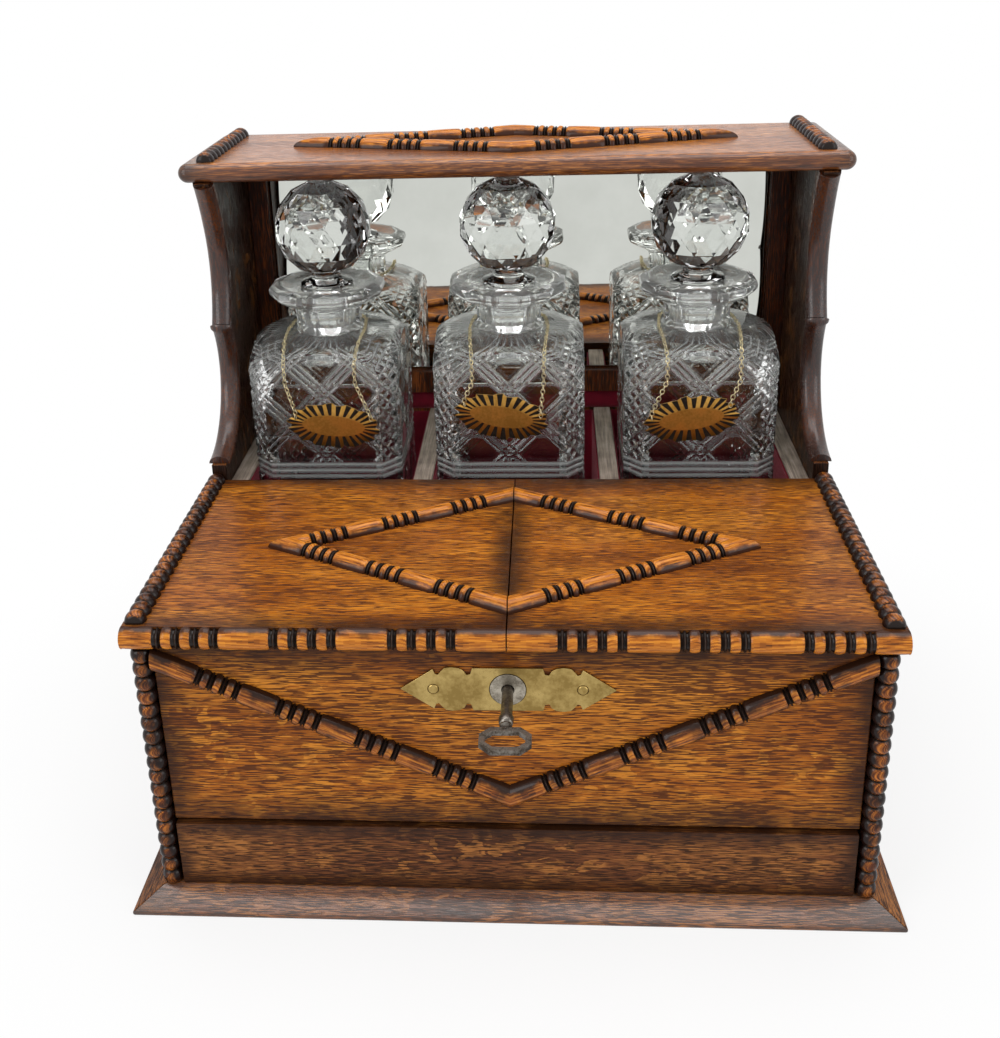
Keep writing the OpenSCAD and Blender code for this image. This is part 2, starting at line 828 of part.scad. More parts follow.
module key() {
    bow_y = plate_y - bow_out;
    neck_y = bow_y + bow_d / 2;
    tip_y = lock_mid + room_t / 2 - run;
    len = tip_y - neck_y;
    r = shank_r;
    color(steel) {
        translate([0, bow_y, key_z - bow_bar / 2]) linear_extrude(bow_bar) difference() {
            bow_outline(bow_w, bow_d);
            bow_outline(bow_w - 2 * bow_bar, bow_d - 2 * bow_bar);
        }
        // Shank, with the turned collar next to the bow
        translate([0, neck_y - bow_bar / 2, key_z]) rotate([-90, 0, 0]) rotate_extrude() polygon([
            [0, 0], [1.9, 0], [1.7, 2], [2.8, 2.6], [2.8, 3.6], [1.9, 4.2], [2.9, 5], [3.3, 6.4],
            [3.3, 9], [r, 9.6], [r, len + bow_bar / 2], [0, len + bow_bar / 2]]);
        block(r - 1, bit_r, lock_mid - room_t / 2 + run, tip_y, key_z - 0.9, key_z + 0.9);
    }
}

/* Decanters */
base_t = 9;
lip_t = 5.5;
// Depth of the dish in the top of the lip, where the stopper sits
lip_dish = 1.8;

module body_outline(w) {
    c = body_chamfer - (body_w - w) * 0.29;
    h = w / 2;
    polygon([[-h + c, -h], [h - c, -h], [h, -h + c], [h, h - c], [h - c, h], [-h + c, h],
        [-h, h - c], [-h, -h + c]]);
}

// Square body of width w from z0 up to a domed shoulder at height h, round a neck of radius r
module square_body(w, z0, h, r) {
    corner = w * 0.66;
    intersection() {
        translate([0, 0, z0]) linear_extrude(h - z0) body_outline(w);
        rotate_extrude() polygon(concat([[0, z0 - 1], [corner, z0 - 1]],
            arc_points([corner, h - 24], [r, h], 8, 8), [[0, h]]));
    }
}

module decanter(i) {
    color(glass, 0.5) translate([stand_x[i], stand_y, stand_z]) difference() {
        union() {
            square_body(body_w, 0, body_h, neck_r);
            rotate_extrude() polygon([[0, body_h - 2], [neck_r, body_h - 2], [neck_r - 0.8, body_h + 8],
                [neck_r - 0.8, lip_z - 7], [neck_r + 1.5, lip_z - 3], [lip_r - 4, lip_z - 0.5],
                [lip_r - 0.8, lip_z + 0.8], [lip_r, lip_z + 2.6], [lip_r - 0.6, lip_z + 4.6],
                [lip_r - 3, lip_z + lip_t], [bore_r + 8, lip_z + lip_t - lip_dish + 0.2],
                [bore_r + 5, lip_z + lip_t - lip_dish], [0, lip_z + lip_t - lip_dish]]);
        }
        square_body(body_w - 2 * glass_t, base_t, body_h - glass_t, bore_r);
        translate([0, 0, body_h - glass_t - 1]) cylinder(h = lip_z, r = bore_r);
    }
}

module decanter_1() {
    decanter(0);
}

module decanter_2() {
    decanter(1);
}

module decanter_3() {
    decanter(2);
}

// Points of a ball cut with flat facets: rows of points, each turned by half a step
ball_rows = [-70, -42, -14, 14, 42, 70];
ball_count = 10;
function ball_point(row, j) = let (
        turn = (j + (row % 2) / 2) * 360 / ball_count,
        tilt = ball_rows[row]
    ) ball_r * [cos(tilt) * cos(turn), cos(tilt) * sin(turn), sin(tilt)];
function ball_index(row, j) = row * ball_count + j % ball_count;

module cut_ball() {
    rows = len(ball_rows);
    n = ball_count;
    points = [for (row = [0:rows - 1]) for (j = [0:n - 1]) ball_point(row, j)];
    sides = [for (row = [0:rows - 2]) for (j = [0:n - 1]) let (k = row % 2) each [
        [ball_index(row, j), ball_index(row + 1, j + k), ball_index(row, j + 1)],
        [ball_index(row + 1, j + k), ball_index(row + 1, j + k + 1), ball_index(row, j + 1)]]];
    caps = [[for (j = [0:n - 1]) ball_index(0, j)],
        [for (j = [n - 1:-1:0]) ball_index(rows - 1, j)]];
    polyhedron(points, concat(sides, caps));
}

module stopper(i) {
    seat = lip_z + lip_t - lip_dish;
    ball_low = seat + 7.3;
    color(glass, 0.5) translate([stand_x[i], stand_y, stand_z]) {
        rotate_extrude() polygon([[0, seat - 22], [bore_r - 1.6, seat - 22], [bore_r - 0.4, seat - 1],
            [bore_r - 0.4, seat + 0.3], [bore_r + 4.5, seat + 0.3], [bore_r + 4.5, seat + 2],
            [8.6, seat + 4], [8.6, ball_low + 1.5], [0, ball_low + 1.5]]);
        translate([0, 0, ball_low + ball_r * sin(ball_rows[5])]) cut_ball();
    }
}

module stopper_1() {
    stopper(0);
}

module stopper_2() {
    stopper(1);
}

module stopper_3() {
    stopper(2);
}

/* Labels */
label_t = 0.8;
label_y = -body_w / 2 - 1 - label_t;
// How far each label hangs off the middle of its decanter
label_off = [6, -4, -6];
chain_r = 0.7;
// Place of a chain's end on its label, from the label's middle
chain_hole = [0.36 * label_w, 0.2 * label_h];

function oval(a, b, count) = [for (i = [0:count - 1]) [a * cos(i * 360 / count), b * sin(i * 360 / count)]];
function ray_points(a, b, count) = [for (i = [0:2 * count - 1])
    (i % 2 == 0 ? 1 : 0.93) * [a * cos(i * 180 / count), b * sin(i * 180 / count)]];

module label(i) {
    color(brass) translate([stand_x[i] + label_off[i], stand_y + label_y + label_t, stand_z + label_z[i]])
        rotate([90, 0, 0]) rotate([0, 0, label_tilt[i]]) {
            linear_extrude(label_t) polygon(ray_points(label_w / 2, label_h / 2, label_rays));
            translate([0, 0, label_t]) linear_extrude(0.3)
                polygon(oval(0.3 * label_w, 0.24 * label_h, 24));
        }
}

module label_1() {
    label(0);
}

module label_2() {
    label(1);
}

module label_3() {
    label(2);
}

// The chain: up from one end of the label, round the neck, and down to the other end
chain_sides = 8;
function chain_end(i, s) = let (a = label_tilt[i], h = [s * chain_hole[0], chain_hole[1]])
    [label_off[i] + h[0] * cos(a) - h[1] * sin(a), label_y - chain_r - 0.1,
        label_z[i] + h[0] * sin(a) + h[1] * cos(a)];
function chain_side(i, s) = let (r = neck_r + chain_r + 0.8, f = -body_w / 2) [
    chain_end(i, s), chain_end(i, s) + [0, 0, 3], [s * (r - 1.5), f - 1.6, body_h - 20],
    [s * (r - 1.5), f - 1.6, body_h - 9], [s * (r - 1), f + 4, body_h - 2.6], [s * r, f + 14, body_h + 1.6],
    [s * (r + 1), -12, body_h + 2.6]];
function chain_loop() = let (r = neck_r + chain_r + 0.8)
    [for (a = [180:-15:0]) [r * cos(a), r * sin(a), body_h + 2.5]];
function chain_path(i) = concat(chain_side(i, -1), chain_loop(), turned_back(chain_side(i, 1)));
// Outward direction of the ring round each point of the path
function chain_out(p) = p[1] > 0 ? [p[0], p[1], 0] / norm([p[0], p[1]]) : [sign(p[0]), 0, 0];
function unit(v) = v / norm(v);
function chain_ring(path, k) = let (
        last = len(path) - 1,
        t = unit(path[min(k + 1, last)] - path[max(k - 1, 0)]),
        out = chain_out(path[k]),
        u = unit(out - (out * t) * t),
        v = cross(t, u)
    ) [for (j = [0:chain_sides - 1]) let (a = j * 360 / chain_sides)
        path[k] + chain_r * (cos(a) * u + sin(a) * v)];

module tube(path) {
    n = chain_sides;
    last = len(path) - 1;
    points = [for (k = [0:last]) each chain_ring(path, k)];
    sides = [for (k = [0:last - 1]) for (j = [0:n - 1])
        let (a = k * n + j, b = k * n + (j + 1) % n) each [[a, b + n, b], [a, a + n, b + n]]];
    caps = [[for (j = [0:n - 1]) j], [for (j = [n - 1:-1:0]) last * n + j]];
    polyhedron(points, concat(sides, caps));
}

module label_chain(i) {
    color(brass) translate([stand_x[i], stand_y, stand_z]) tube(chain_path(i));
}

module label_chain_1() {
    label_chain(0);
}

module label_chain_2() {
    label_chain(1);
}

module label_chain_3() {
    label_chain(2);
}

plinth_front();
plinth_left();
plinth_right();
base_board();
side_left();
side_right();
edge_moulding_left();
edge_moulding_right();
back_board();
front_panel();
chevron();
column_left();
column_right();
compartment_floor();
bay_floor();
bay_rail();
bay_dividers();
bay_liners();
velvet_bay_1();
velvet_bay_2();
velvet_bay_3();
mirror_glass();
mirror_frame();
canopy();
canopy_diamond();
canopy_bobbins();
drawer_runners();
drawer_front();
drawer_box();
drawer_bottom();
lid_left();
lid_right();
nosing_left();
nosing_right();
lid_diamond_left();
lid_diamond_right();
lid_bobbins_left();
lid_bobbins_right();
hinges_fixed();
hinges_left();
hinges_right();
lock_plate();
lock_pins();
lock_case();
lock_bolt();
key();
catch_left();
catch_right();
decanter_1();
decanter_2();
decanter_3();
stopper_1();
stopper_2();
stopper_3();
label_1();
label_2();
label_3();
label_chain_1();
label_chain_2();
label_chain_3();
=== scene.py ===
# Looks of a three-bottle oak tantalus: polished wood, turned mouldings, cut glass,
# velvet, brass and steel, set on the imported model. All lengths are metres.
import json
import math

import bmesh
import bpy
import numpy as np
from mathutils import Matrix, Vector


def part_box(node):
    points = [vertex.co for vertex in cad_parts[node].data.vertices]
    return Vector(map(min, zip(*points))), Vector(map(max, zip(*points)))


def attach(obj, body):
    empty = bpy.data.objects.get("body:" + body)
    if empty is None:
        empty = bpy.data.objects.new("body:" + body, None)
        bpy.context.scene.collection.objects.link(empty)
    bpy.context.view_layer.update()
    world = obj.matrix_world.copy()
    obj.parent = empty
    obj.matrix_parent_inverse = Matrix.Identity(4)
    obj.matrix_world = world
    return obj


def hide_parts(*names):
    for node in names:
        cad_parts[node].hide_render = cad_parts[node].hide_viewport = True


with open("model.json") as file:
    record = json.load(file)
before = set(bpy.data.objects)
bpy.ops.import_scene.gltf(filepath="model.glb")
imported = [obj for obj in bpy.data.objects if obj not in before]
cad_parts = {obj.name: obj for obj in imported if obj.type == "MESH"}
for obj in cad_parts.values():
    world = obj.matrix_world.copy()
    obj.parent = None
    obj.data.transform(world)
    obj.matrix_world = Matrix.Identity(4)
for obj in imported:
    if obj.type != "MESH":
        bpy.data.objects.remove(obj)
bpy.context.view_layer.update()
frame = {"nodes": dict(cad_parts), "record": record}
RECORD = frame["record"]
NODES = frame["nodes"]
MM = 0.001

BODY_OF = {n: body for body, names in RECORD["behaviour"]["bodies"].items() for n in names}


def placed(name, data):
    """A new object in the scene."""
    thing = bpy.data.objects.new(name, data)
    bpy.context.scene.collection.objects.link(thing)
    return thing


# Camera

CAMERA_PLACE = Vector((0.02089, -0.60079, 0.44772))
CAMERA_YAW, CAMERA_PITCH, CAMERA_ROLL = -4.325, 20.861, -1.994
LENS, SHIFT_X, SHIFT_Y = 42.5, 0.0336, -0.1276


def camera_axes():
    """Right, up and forward of the camera, from its yaw, pitch and roll in degrees."""
    yaw, pitch, roll = (math.radians(a) for a in (CAMERA_YAW, CAMERA_PITCH, CAMERA_ROLL))
    forward = Vector((math.sin(yaw) * math.cos(pitch), math.cos(yaw) * math.cos(pitch),
                      -math.sin(pitch)))
    level = Vector((math.cos(yaw), -math.sin(yaw), 0))
    raised = level.cross(forward)
    right = math.cos(roll) * level + math.sin(roll) * raised
    up = math.cos(roll) * raised - math.sin(roll) * level
    return right, up, forward


def make_camera():
    data = bpy.data.cameras.new("camera")
    data.lens, data.shift_x, data.shift_y = LENS, SHIFT_X, SHIFT_Y
    data.clip_start = 0.01
    camera = placed("camera", data)
    right, up, forward = camera_axes()
    turn = Matrix((right, up, -forward)).transposed()
    camera.matrix_world = Matrix.Translation(CAMERA_PLACE) @ turn.to_4x4()
    bpy.context.scene.camera = camera


# Shader helpers


class Shader:
    """The nodes of a new material or world, with one short call for each kind of node."""

    def __init__(self, name, owners=bpy.data.materials, end="OutputMaterial"):
        self.owner = owners.new(name)
        self.owner.use_nodes = True
        self.tree = self.owner.node_tree
        self.tree.nodes.clear()
        self.end = self.add(end)

    def feed(self, socket, value):
        """Links another node's output to a socket, or sets it to a plain value."""
        if isinstance(value, bpy.types.NodeSocket):
            self.tree.links.new(value, socket)
        else:
            socket.default_value = value

    def add(self, kind, inputs=None, **settings):
        """A new node with its inputs fed and its settings set."""
        node = self.tree.nodes.new("ShaderNode" + kind)
        for key, value in settings.items():
            setattr(node, key, value)
        for key, value in (inputs or {}).items():
            self.feed(node.inputs[key], value)
        return node

    def math(self, operation, a, b):
        return self.add("Math", {0: a, 1: b}, operation=operation).outputs[0]

    def plus(self, a, b):
        return self.math("ADD", a, b)

    def times(self, a, b):
        return self.math("MULTIPLY", a, b)

    def swing(self, value, amount):
        """How far the value is from a half, times the amount."""
        return self.times(self.math("SUBTRACT", value, 0.5), amount)

    def mix(self, factor, a, b):
        """The colour between a and b."""
        return self.add("Mix", {0: factor, 6: a, 7: b}, data_type="RGBA").outputs[2]

    def mix_shaders(self, factor, a, b):
        return self.add("MixShader", {0: factor, 1: a, 2: b}).outputs[0]

    def place(self):
        """The object's own coordinates, which are the model's at rest."""
        return self.add("TexCoord").outputs["Object"]

    def stretched(self, vector, scale, offset):
        """The coordinates scaled differently along X, Y and Z, moved aside by the offset."""
        aside = (offset, offset * 0.7, offset * 0.4)
        inputs = {"Vector": vector, "Scale": scale, "Location": aside}
        return self.add("Mapping", inputs).outputs[0]

    def noise(self, vector, scale=1.0, detail=3.0, roughness=0.55, distortion=0.0):
        inputs = {"Vector": vector, "Scale": scale, "Detail": detail, "Roughness": roughness,
                  "Distortion": distortion}
        return self.add("TexNoise", inputs).outputs["Fac"]

    def ramp(self, factor, *stops):
        """A colour ramp through (place, colour) stops."""
        node = self.add("ValToRGB", {"Fac": factor})
        while len(node.color_ramp.elements) < len(stops):
            node.color_ramp.elements.new(0.5)
        for element, (position, colour) in zip(node.color_ramp.elements, stops):
            element.position = position
            element.color = colour
        return node.outputs[0]

    def range(self, value, low, high, start=0.0, end=1.0):
        """The value mapped smoothly from low..high to start..end."""
        inputs = {"Value": value, "From Min": low, "From Max": high, "To Min": start, "To Max": end}
        return self.add("MapRange", inputs, interpolation_type="SMOOTHSTEP").outputs[0]

    def bump(self, height, distance, strength):
        inputs = {"Height": height, "Distance": distance, "Strength": strength}
        return self.add("Bump", inputs).outputs[0]

    def finish(self, surface):
        """Ends the nodes in a surface."""
        self.tree.links.new(surface, self.end.inputs["Surface"])
        return self.owner

    def principled(self, **inputs):
        """A principled surface; underscores in the names stand for spaces."""
        named = {key.replace("_", " "): value for key, value in inputs.items()}
        return self.add("BsdfPrincipled", named).outputs[0]


def rgb(red, green, blue):
    return (red, green, blue, 1.0)


# Wood

# Dark, middle and light tone of each stain
OAK = rgb(0.070, 0.017, 0.004), rgb(0.40, 0.112, 0.009), rgb(0.68, 0.250, 0.026)
RED = rgb(0.026, 0.009, 0.004), rgb(0.190, 0.060, 0.018), rgb(0.42, 0.160, 0.038)
BROWN = rgb(0.010, 0.003, 0.002), rgb(0.050, 0.012, 0.004), rgb(0.17, 0.046, 0.011)
PATINA = rgb(0.012, 0.006, 0.004)
BLACK = PATINA, rgb(0.007, 0.003, 0.002), rgb(0.022, 0.008, 0.004)
PORE_SHARE = 0.9


def grain(shader, vector, axis, slow, fast, offset, *noise):
    """Noise drawn out along one axis: slow along the grain and fast across it."""
    scale = tuple(slow if letter == axis else fast for letter in "xyz")
    return shader.noise(shader.stretched(vector, scale, offset), 1.0, *noise)


def grain_tone(shader, vector, axis, seed):
    """Streaky tone from 0 to 1 of plain and quarter sawn oak."""
    wavy = grain(shader, vector, axis, 8, 30, seed, 2.0)
    streaks = grain(shader, vector, axis, 34, 640, seed, 4.0, 0.62, 0.3)
    fine = grain(shader, vector, axis, 90, 2200, seed, 3.0, 0.6)
    broad = shader.plus(shader.times(wavy, 0.7), shader.times(streaks, 0.5))
    return shader.plus(broad, shader.swing(fine, 0.6))


def pores(shader, vector, axis, seed):
    """Short dark dashes along the grain, from 0 to 1."""
    dashes = grain(shader, vector, axis, 125, 2300, seed + 3.0, 1.5, 0.4)
    patches = grain(shader, vector, axis, 14, 60, seed + 5.0, 2.0)
    return shader.range(shader.plus(dashes, shader.times(patches, 0.25)), 0.59, 0.65)


def ray_flecks(shader, vector, axis, seed):
    """Pale wandering flecks across the grain of quarter sawn oak, from 0 to 1."""
    warp = grain(shader, vector, axis, 26, 50, seed + 9.0, 2.0)
    flecks = grain(shader, vector, axis, 62, 130, seed + 7.0, 2.0, 0.5, 1.2)
    return shader.times(shader.range(flecks, 0.53, 0.56), shader.range(warp, 0.46, 0.54))


def edge_shade(shader, vector, box, axes, band):
    """How near a point is to the ends of a box along the named axes, from 0 inside to 1."""
    parts = shader.add("SeparateXYZ", {0: vector})
    shade = None
    for axis in axes:
        k = "xyz".index(axis)
        middle, half = (box[0][k] + box[1][k]) / 2, (box[1][k] - box[0][k]) / 2
        off = shader.math("ABSOLUTE", shader.math("SUBTRACT", parts.outputs[k], middle), 0.0)
        near = shader.range(off, half - band, half)
        shade = near if shade is None else shader.math("MAXIMUM", shade, near)
    cloud = shader.noise(vector, 55.0, 3.0)
    return shader.times(shade, shader.range(cloud, 0.25, 0.6, 0.45, 0.9))


def facing(shader, directions):
    """How far a face looks along one of some directions of the model, from 0 to 1."""
    normal = shader.add("NewGeometry").outputs["True Normal"]
    most = None
    for direction in directions:
        product = shader.add("VectorMath", {0: normal, 1: direction}, operation="DOT_PRODUCT")
        dot = product.outputs["Value"]
        most = dot if most is None else shader.math("MAXIMUM", most, dot)
    return shader.range(most, 0.35, 0.8)


def wood(name, tones, axis, seed, shade, stain_and_shade_faces, stain_and_shade_tones, flecks, coat):
    """Polished oak with its grain along one axis.

    It is darker toward the edges that shade names. Faces that look along the listed
    directions take deeper tones, which on the canopy's lower faces are painted shade.
    """
    shader = Shader(name)
    place = shader.place()
    tone = grain_tone(shader, place, axis, seed)
    marks = pores(shader, place, axis, seed)
    dark, mid, light = tones
    colour = shader.ramp(tone, (0.36, dark), (0.56, mid), (0.80, light))
    if stain_and_shade_faces:
        # Deeper tones on the listed faces; on the canopy partly painted shade on its downward faces
        deep = shader.ramp(tone, *zip((0.45, 0.60, 0.78), stain_and_shade_tones))
        colour = shader.mix(facing(shader, stain_and_shade_faces), colour, deep)
    if flecks:
        rays = shader.times(ray_flecks(shader, place, axis, seed), flecks)
        colour = shader.mix(rays, colour, light)
    colour = shader.mix(shader.times(marks, PORE_SHARE), colour, dark)
    if shade:
        colour = shader.mix(edge_shade(shader, place, *shade), colour, RED[0])
    rough = shader.range(marks, 0.0, 1.0, 0.27, 0.5)
    relief = shader.bump(shader.math("SUBTRACT", tone, marks), 0.00012, 0.3)
    surface = shader.principled(Base_Color=colour, Roughness=rough, Normal=relief, Coat_Weight=coat,
                                Coat_Roughness=0.16, Specular_IOR_Level=coat)
    return shader.finish(surface)


# Light, middle and dark tone; heights on the round where painted shade ends and the crest is lit
TURNED = {
    "turned_amber": (rgb(0.74, 0.27, 0.026), rgb(0.42, 0.120, 0.011), rgb(0.045, 0.013, 0.004),
                     0.35, 0.85),
    "turned_brown": (rgb(0.66, 0.23, 0.028), rgb(0.26, 0.066, 0.010), RED[0], 0.62, 1.12),
    "turned_bead": (rgb(0.56, 0.18, 0.025), rgb(0.15, 0.036, 0.008), BROWN[0], 0.72, 1.18),
}


def turned_wood(name):
    """Turned half-round mouldings: amber crests, painted shade on the sides, near black grooves."""
    light, mid, dark, crest_low, crest_high = TURNED[name]
    shader = Shader(name)
    groove = shader.add("Attribute", attribute_name="groove").outputs["Fac"]
    crest = shader.add("Attribute", attribute_name="crest").outputs["Fac"]
    run = shader.add("UVMap", uv_map="Run").outputs[0]
    streaks = shader.noise(shader.stretched(run, (75, 900, 1), 0.0), 1.0, 3.0, 0.6)
    cloud = shader.noise(shader.place(), 110.0, 3.0)
    body = shader.ramp(streaks, (0.30, dark), (0.46, mid), (0.62, light))
    # Painted shade: away from the crest the sides of the round take the dark tone, as if in shadow
    painted_light_share = shader.range(shader.plus(crest, shader.swing(cloud, 1.1)), crest_low, crest_high)
    colour = shader.mix(painted_light_share, dark, body)
    colour = shader.mix(shader.range(groove, 0.12, 0.6), colour, PATINA)
    surface = shader.principled(Base_Color=colour, Roughness=0.35, Coat_Weight=0.28,
                                Coat_Roughness=0.08, Specular_IOR_Level=0.1,
                                Normal=shader.bump(streaks, 0.0001, 0.25))
    return shader.finish(surface)


# Glass, metal, velvet


def cut_glass(name):
    """Clear glass with white painted sheen where the mesh marks it; lamps' light goes through."""
    shader = Shader(name)
    haze = shader.noise(shader.place(), 180.0, 2.0)
    # The mesh's 'cut' attribute: each point's share of painted sheen
    painted_sheen_share = shader.add("Attribute", attribute_name="cut").outputs["Fac"]
    rough = shader.range(haze, 0.5, 0.9, 0.0, 0.03)
    glass = shader.principled(Base_Color=rgb(0.985, 0.995, 0.99), Roughness=rough, IOR=1.5,
                              Transmission_Weight=1.0)
    # Painted sheen: a white diffuse and translucent share that stands for bright reflections in the
    # cuts, on the neck and on the shoulder
    painted_sheen = {"Color": rgb(0.92, 0.94, 0.92)}
    white = shader.add("BsdfDiffuse", painted_sheen).outputs[0]
    through = shader.add("BsdfTranslucent", painted_sheen).outputs[0]
    painted_sheen_shader = shader.mix_shaders(0.35, white, through)
    glass = shader.mix_shaders(shader.range(painted_sheen_share, 0.0, 1.0, 0.0, 0.34), glass, painted_sheen_shader)
    clear = shader.add("BsdfTransparent", {"Color": rgb(0.93, 0.95, 0.94)}).outputs[0]
    shadow = shader.add("LightPath").outputs["Is Shadow Ray"]
    return shader.finish(shader.mix_shaders(shadow, glass, clear))


# Bright tone, dull tone, scale of the patina, roughness of the bright and of the dull
METALS = {
    "old_brass": (rgb(0.46, 0.33, 0.12), rgb(0.27, 0.18, 0.055), 70.0, 0.24, 0.45),
    "gilt_label": (rgb(0.52, 0.295, 0.07), rgb(0.31, 0.16, 0.032), 90.0, 0.3, 0.45),
    "pale_brass": (rgb(0.82, 0.72, 0.46), rgb(0.40, 0.33, 0.19), 300.0, 0.2, 0.4),
    "worn_steel": (rgb(0.22, 0.20, 0.175), rgb(0.06, 0.046, 0.035), 220.0, 0.28, 0.55),
    "rubbed_steel": (rgb(0.42, 0.38, 0.31), rgb(0.18, 0.155, 0.12), 220.0, 0.28, 0.5),
}


def metal(name):
    """Metal with a cloudy patina between a bright and a dull tone."""
    bright, dull, scale, rough_low, rough_high = METALS[name]
    shader = Shader(name)
    place = shader.place()
    patina = shader.noise(place, scale, 5.0, 0.62)
    speck = shader.noise(place, scale * 7, 3.0)
    tone = shader.plus(patina, shader.swing(speck, 0.4))
    colour = shader.ramp(tone, (0.36, dull), (0.62, bright))
    rough = shader.range(tone, 0.3, 0.7, rough_high, rough_low)
    surface = shader.principled(Base_Color=colour, Roughness=rough, Metallic=1.0,
                                Normal=shader.bump(speck, 0.00006, 0.3))
    return shader.finish(surface)


def velvet(name):
    """Dark red pile with a soft sheen."""
    shader = Shader(name)
    place = shader.place()
    nap = shader.noise(place, 38.0, 4.0, 0.6, 0.6)
    pile = shader.noise(place, 2400.0, 2.0)
    colour = shader.ramp(nap, (0.25, rgb(0.045, 0.002, 0.006)), (0.8, rgb(0.15, 0.005, 0.015)))
    surface = shader.principled(Base_Color=colour, Roughness=0.95, Sheen_Weight=0.35,
                                Sheen_Roughness=0.35, Sheen_Tint=rgb(1.0, 0.35, 0.4),
                                Specular_IOR_Level=0.1, Normal=shader.bump(pile, 0.0003, 0.6))
    return shader.finish(surface)


def silvered_glass(name):
    """Old mirror glass, faintly grey green, with a trace of haze."""
    shader = Shader(name)
    haze = shader.noise(shader.place(), 22.0, 5.0)
    colour = shader.ramp(haze, (0.3, rgb(0.56, 0.575, 0.535)), (0.7, rgb(0.64, 0.655, 0.615)))
    rough = shader.range(haze, 0.45, 0.8, 0.012, 0.04)
    return shader.finish(shader.principled(Base_Color=colour, Metallic=1.0, Roughness=rough))


def grey_wood(name):
    """Dry, bare board tops, grey brown with long cracks."""
    shader = Shader(name)
    place = shader.place()
    streaks = grain(shader, place, "y", 25, 700, 0.0, 5.0, 0.7)
    cloud = shader.noise(place, 60.0, 4.0)
    tone = shader.plus(shader.times(streaks, 0.7), shader.times(cloud, 0.35))
    colour = shader.ramp(tone, (0.38, rgb(0.09, 0.065, 0.05)), (0.55, rgb(0.27, 0.215, 0.17)),
                         (0.72, rgb(0.48, 0.41, 0.35)))
    surface = shader.principled(Base_Color=colour, Roughness=0.7,
                                Normal=shader.bump(streaks, 0.0003, 0.5))
    return shader.finish(surface)


def enamel(name):
    """The black between the labels' rays."""
    shader = Shader(name)
    speck = shader.noise(shader.place(), 900.0, 2.0)
    colour = shader.ramp(speck, (0.3, rgb(0.006, 0.005, 0.005)), (0.8, rgb(0.03, 0.024, 0.018)))
    surface = shader.principled(Base_Color=colour, Roughness=0.3, Specular_IOR_Level=0.12)
    return shader.finish(surface)


# Mesh helpers

SHARP_ANGLE = 35


def new_piece(name, mesh, body, material):
    """Puts a mesh in the scene as a piece of the object, on a body."""
    piece = placed(name, mesh)
    mesh.materials.append(material)
    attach(piece, body)
    return piece


def stand_in(name, mesh, node, material):
    """A piece that takes the place of one node."""
    piece = new_piece(name, mesh, BODY_OF[node], material)
    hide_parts(node)
    return piece


def smooth_by_angle(mesh, degrees):
    """Shades a mesh smooth, but keeps edges sharper than the angle crisp."""
    mesh.shade_smooth()
    mesh.set_sharp_from_angle(angle=math.radians(degrees))


def baked(name, bm):
    """A new mesh of a bmesh, which is freed."""
    mesh = bpy.data.meshes.new(name)
    bm.to_mesh(mesh)
    bm.free()
    return mesh


def softened(node, material, width, segments=2):
    """The node's own solid with its sharp edges rounded by a width in millimetres."""
    bm = bmesh.new()
    bm.from_mesh(NODES[node].data)
    bmesh.ops.remove_doubles(bm, verts=bm.verts, dist=1e-6)
    bmesh.ops.dissolve_limit(bm, angle_limit=math.radians(0.5), verts=bm.verts, edges=bm.edges)
    mesh = baked(node + "_finish", bm)
    smooth_by_angle(mesh, SHARP_ANGLE)
    piece = stand_in(node + "_finish", mesh, node, material)
    bevel = piece.modifiers.new("rounded", "BEVEL")
    bevel.width = width * MM
    bevel.segments = segments
    bevel.limit_method = "ANGLE"
    bevel.angle_limit = math.radians(SHARP_ANGLE)
    bevel.harden_normals = True
    return piece


# Turned strips

# One groove with its ring: place in widths, share of the depth, darkness
RING_PROFILE = ((-0.5, 0.35, 0.25), (-0.43, 0.6, 0.9), (-0.3, 0.95, 1.0), (-0.2, 1.0, 1.0),
                (-0.13, 0.45, 0.8), (0.0, 0.2, 0.5), (0.13, 0.45, 0.8), (0.2, 1.0, 1.0),
                (0.3, 0.95, 1.0), (0.43, 0.6, 0.9), (0.5, 0.35, 0.25))
RING_DEPTH, BEAD_DEPTH = 1.5 * MM, 1.9 * MM
GROOVES, BEAD_STEPS = 4, 12


def ring_group(centre, radius, pitch):
    """Four narrow grooves, each with a fine ring in it, and three barrels between them."""
    stations = []
    width = pitch * 0.5
    for i in range(GROOVES):
        s = centre + (i - 1.5) * pitch
        for t, share, dark in RING_PROFILE:
            stations.append((s + t * width, radius - RING_DEPTH * share, dark))
        if i < GROOVES - 1:
            for t in (0.12, 0.3, 0.5, 0.7, 0.88):
                swell = 0.35 * (1 - math.sin(math.pi * t) ** 0.8)
                place = s + width / 2 + t * (pitch - width)
                stations.append((place, radius - RING_DEPTH * swell, 0.0))
    return stations


def strip_stations(length, radius, groups, pitch):
    """(place, radius, groove) along a strip with ring groups and plain barrels between them."""
    stations = [(0.0, radius, 0.0)]
    reach = 1.75 * pitch
    edges = [0.0] + [g + s * reach for g in groups for s in (-1, 1)] + [length]
    for k in range(0, len(edges), 2):
        low, high = edges[k], edges[k + 1]
        for t in np.linspace(0.04, 0.96, 9):
            dip = 0.05 * radius * (1 - math.sin(math.pi * t) ** 0.6)
            stations.append((low + t * (high - low), radius - dip, 0.0))
        if k // 2 < len(groups):
            stations += ring_group(groups[k // 2], radius, pitch)
    stations.append((length, radius, 0.0))
    return stations


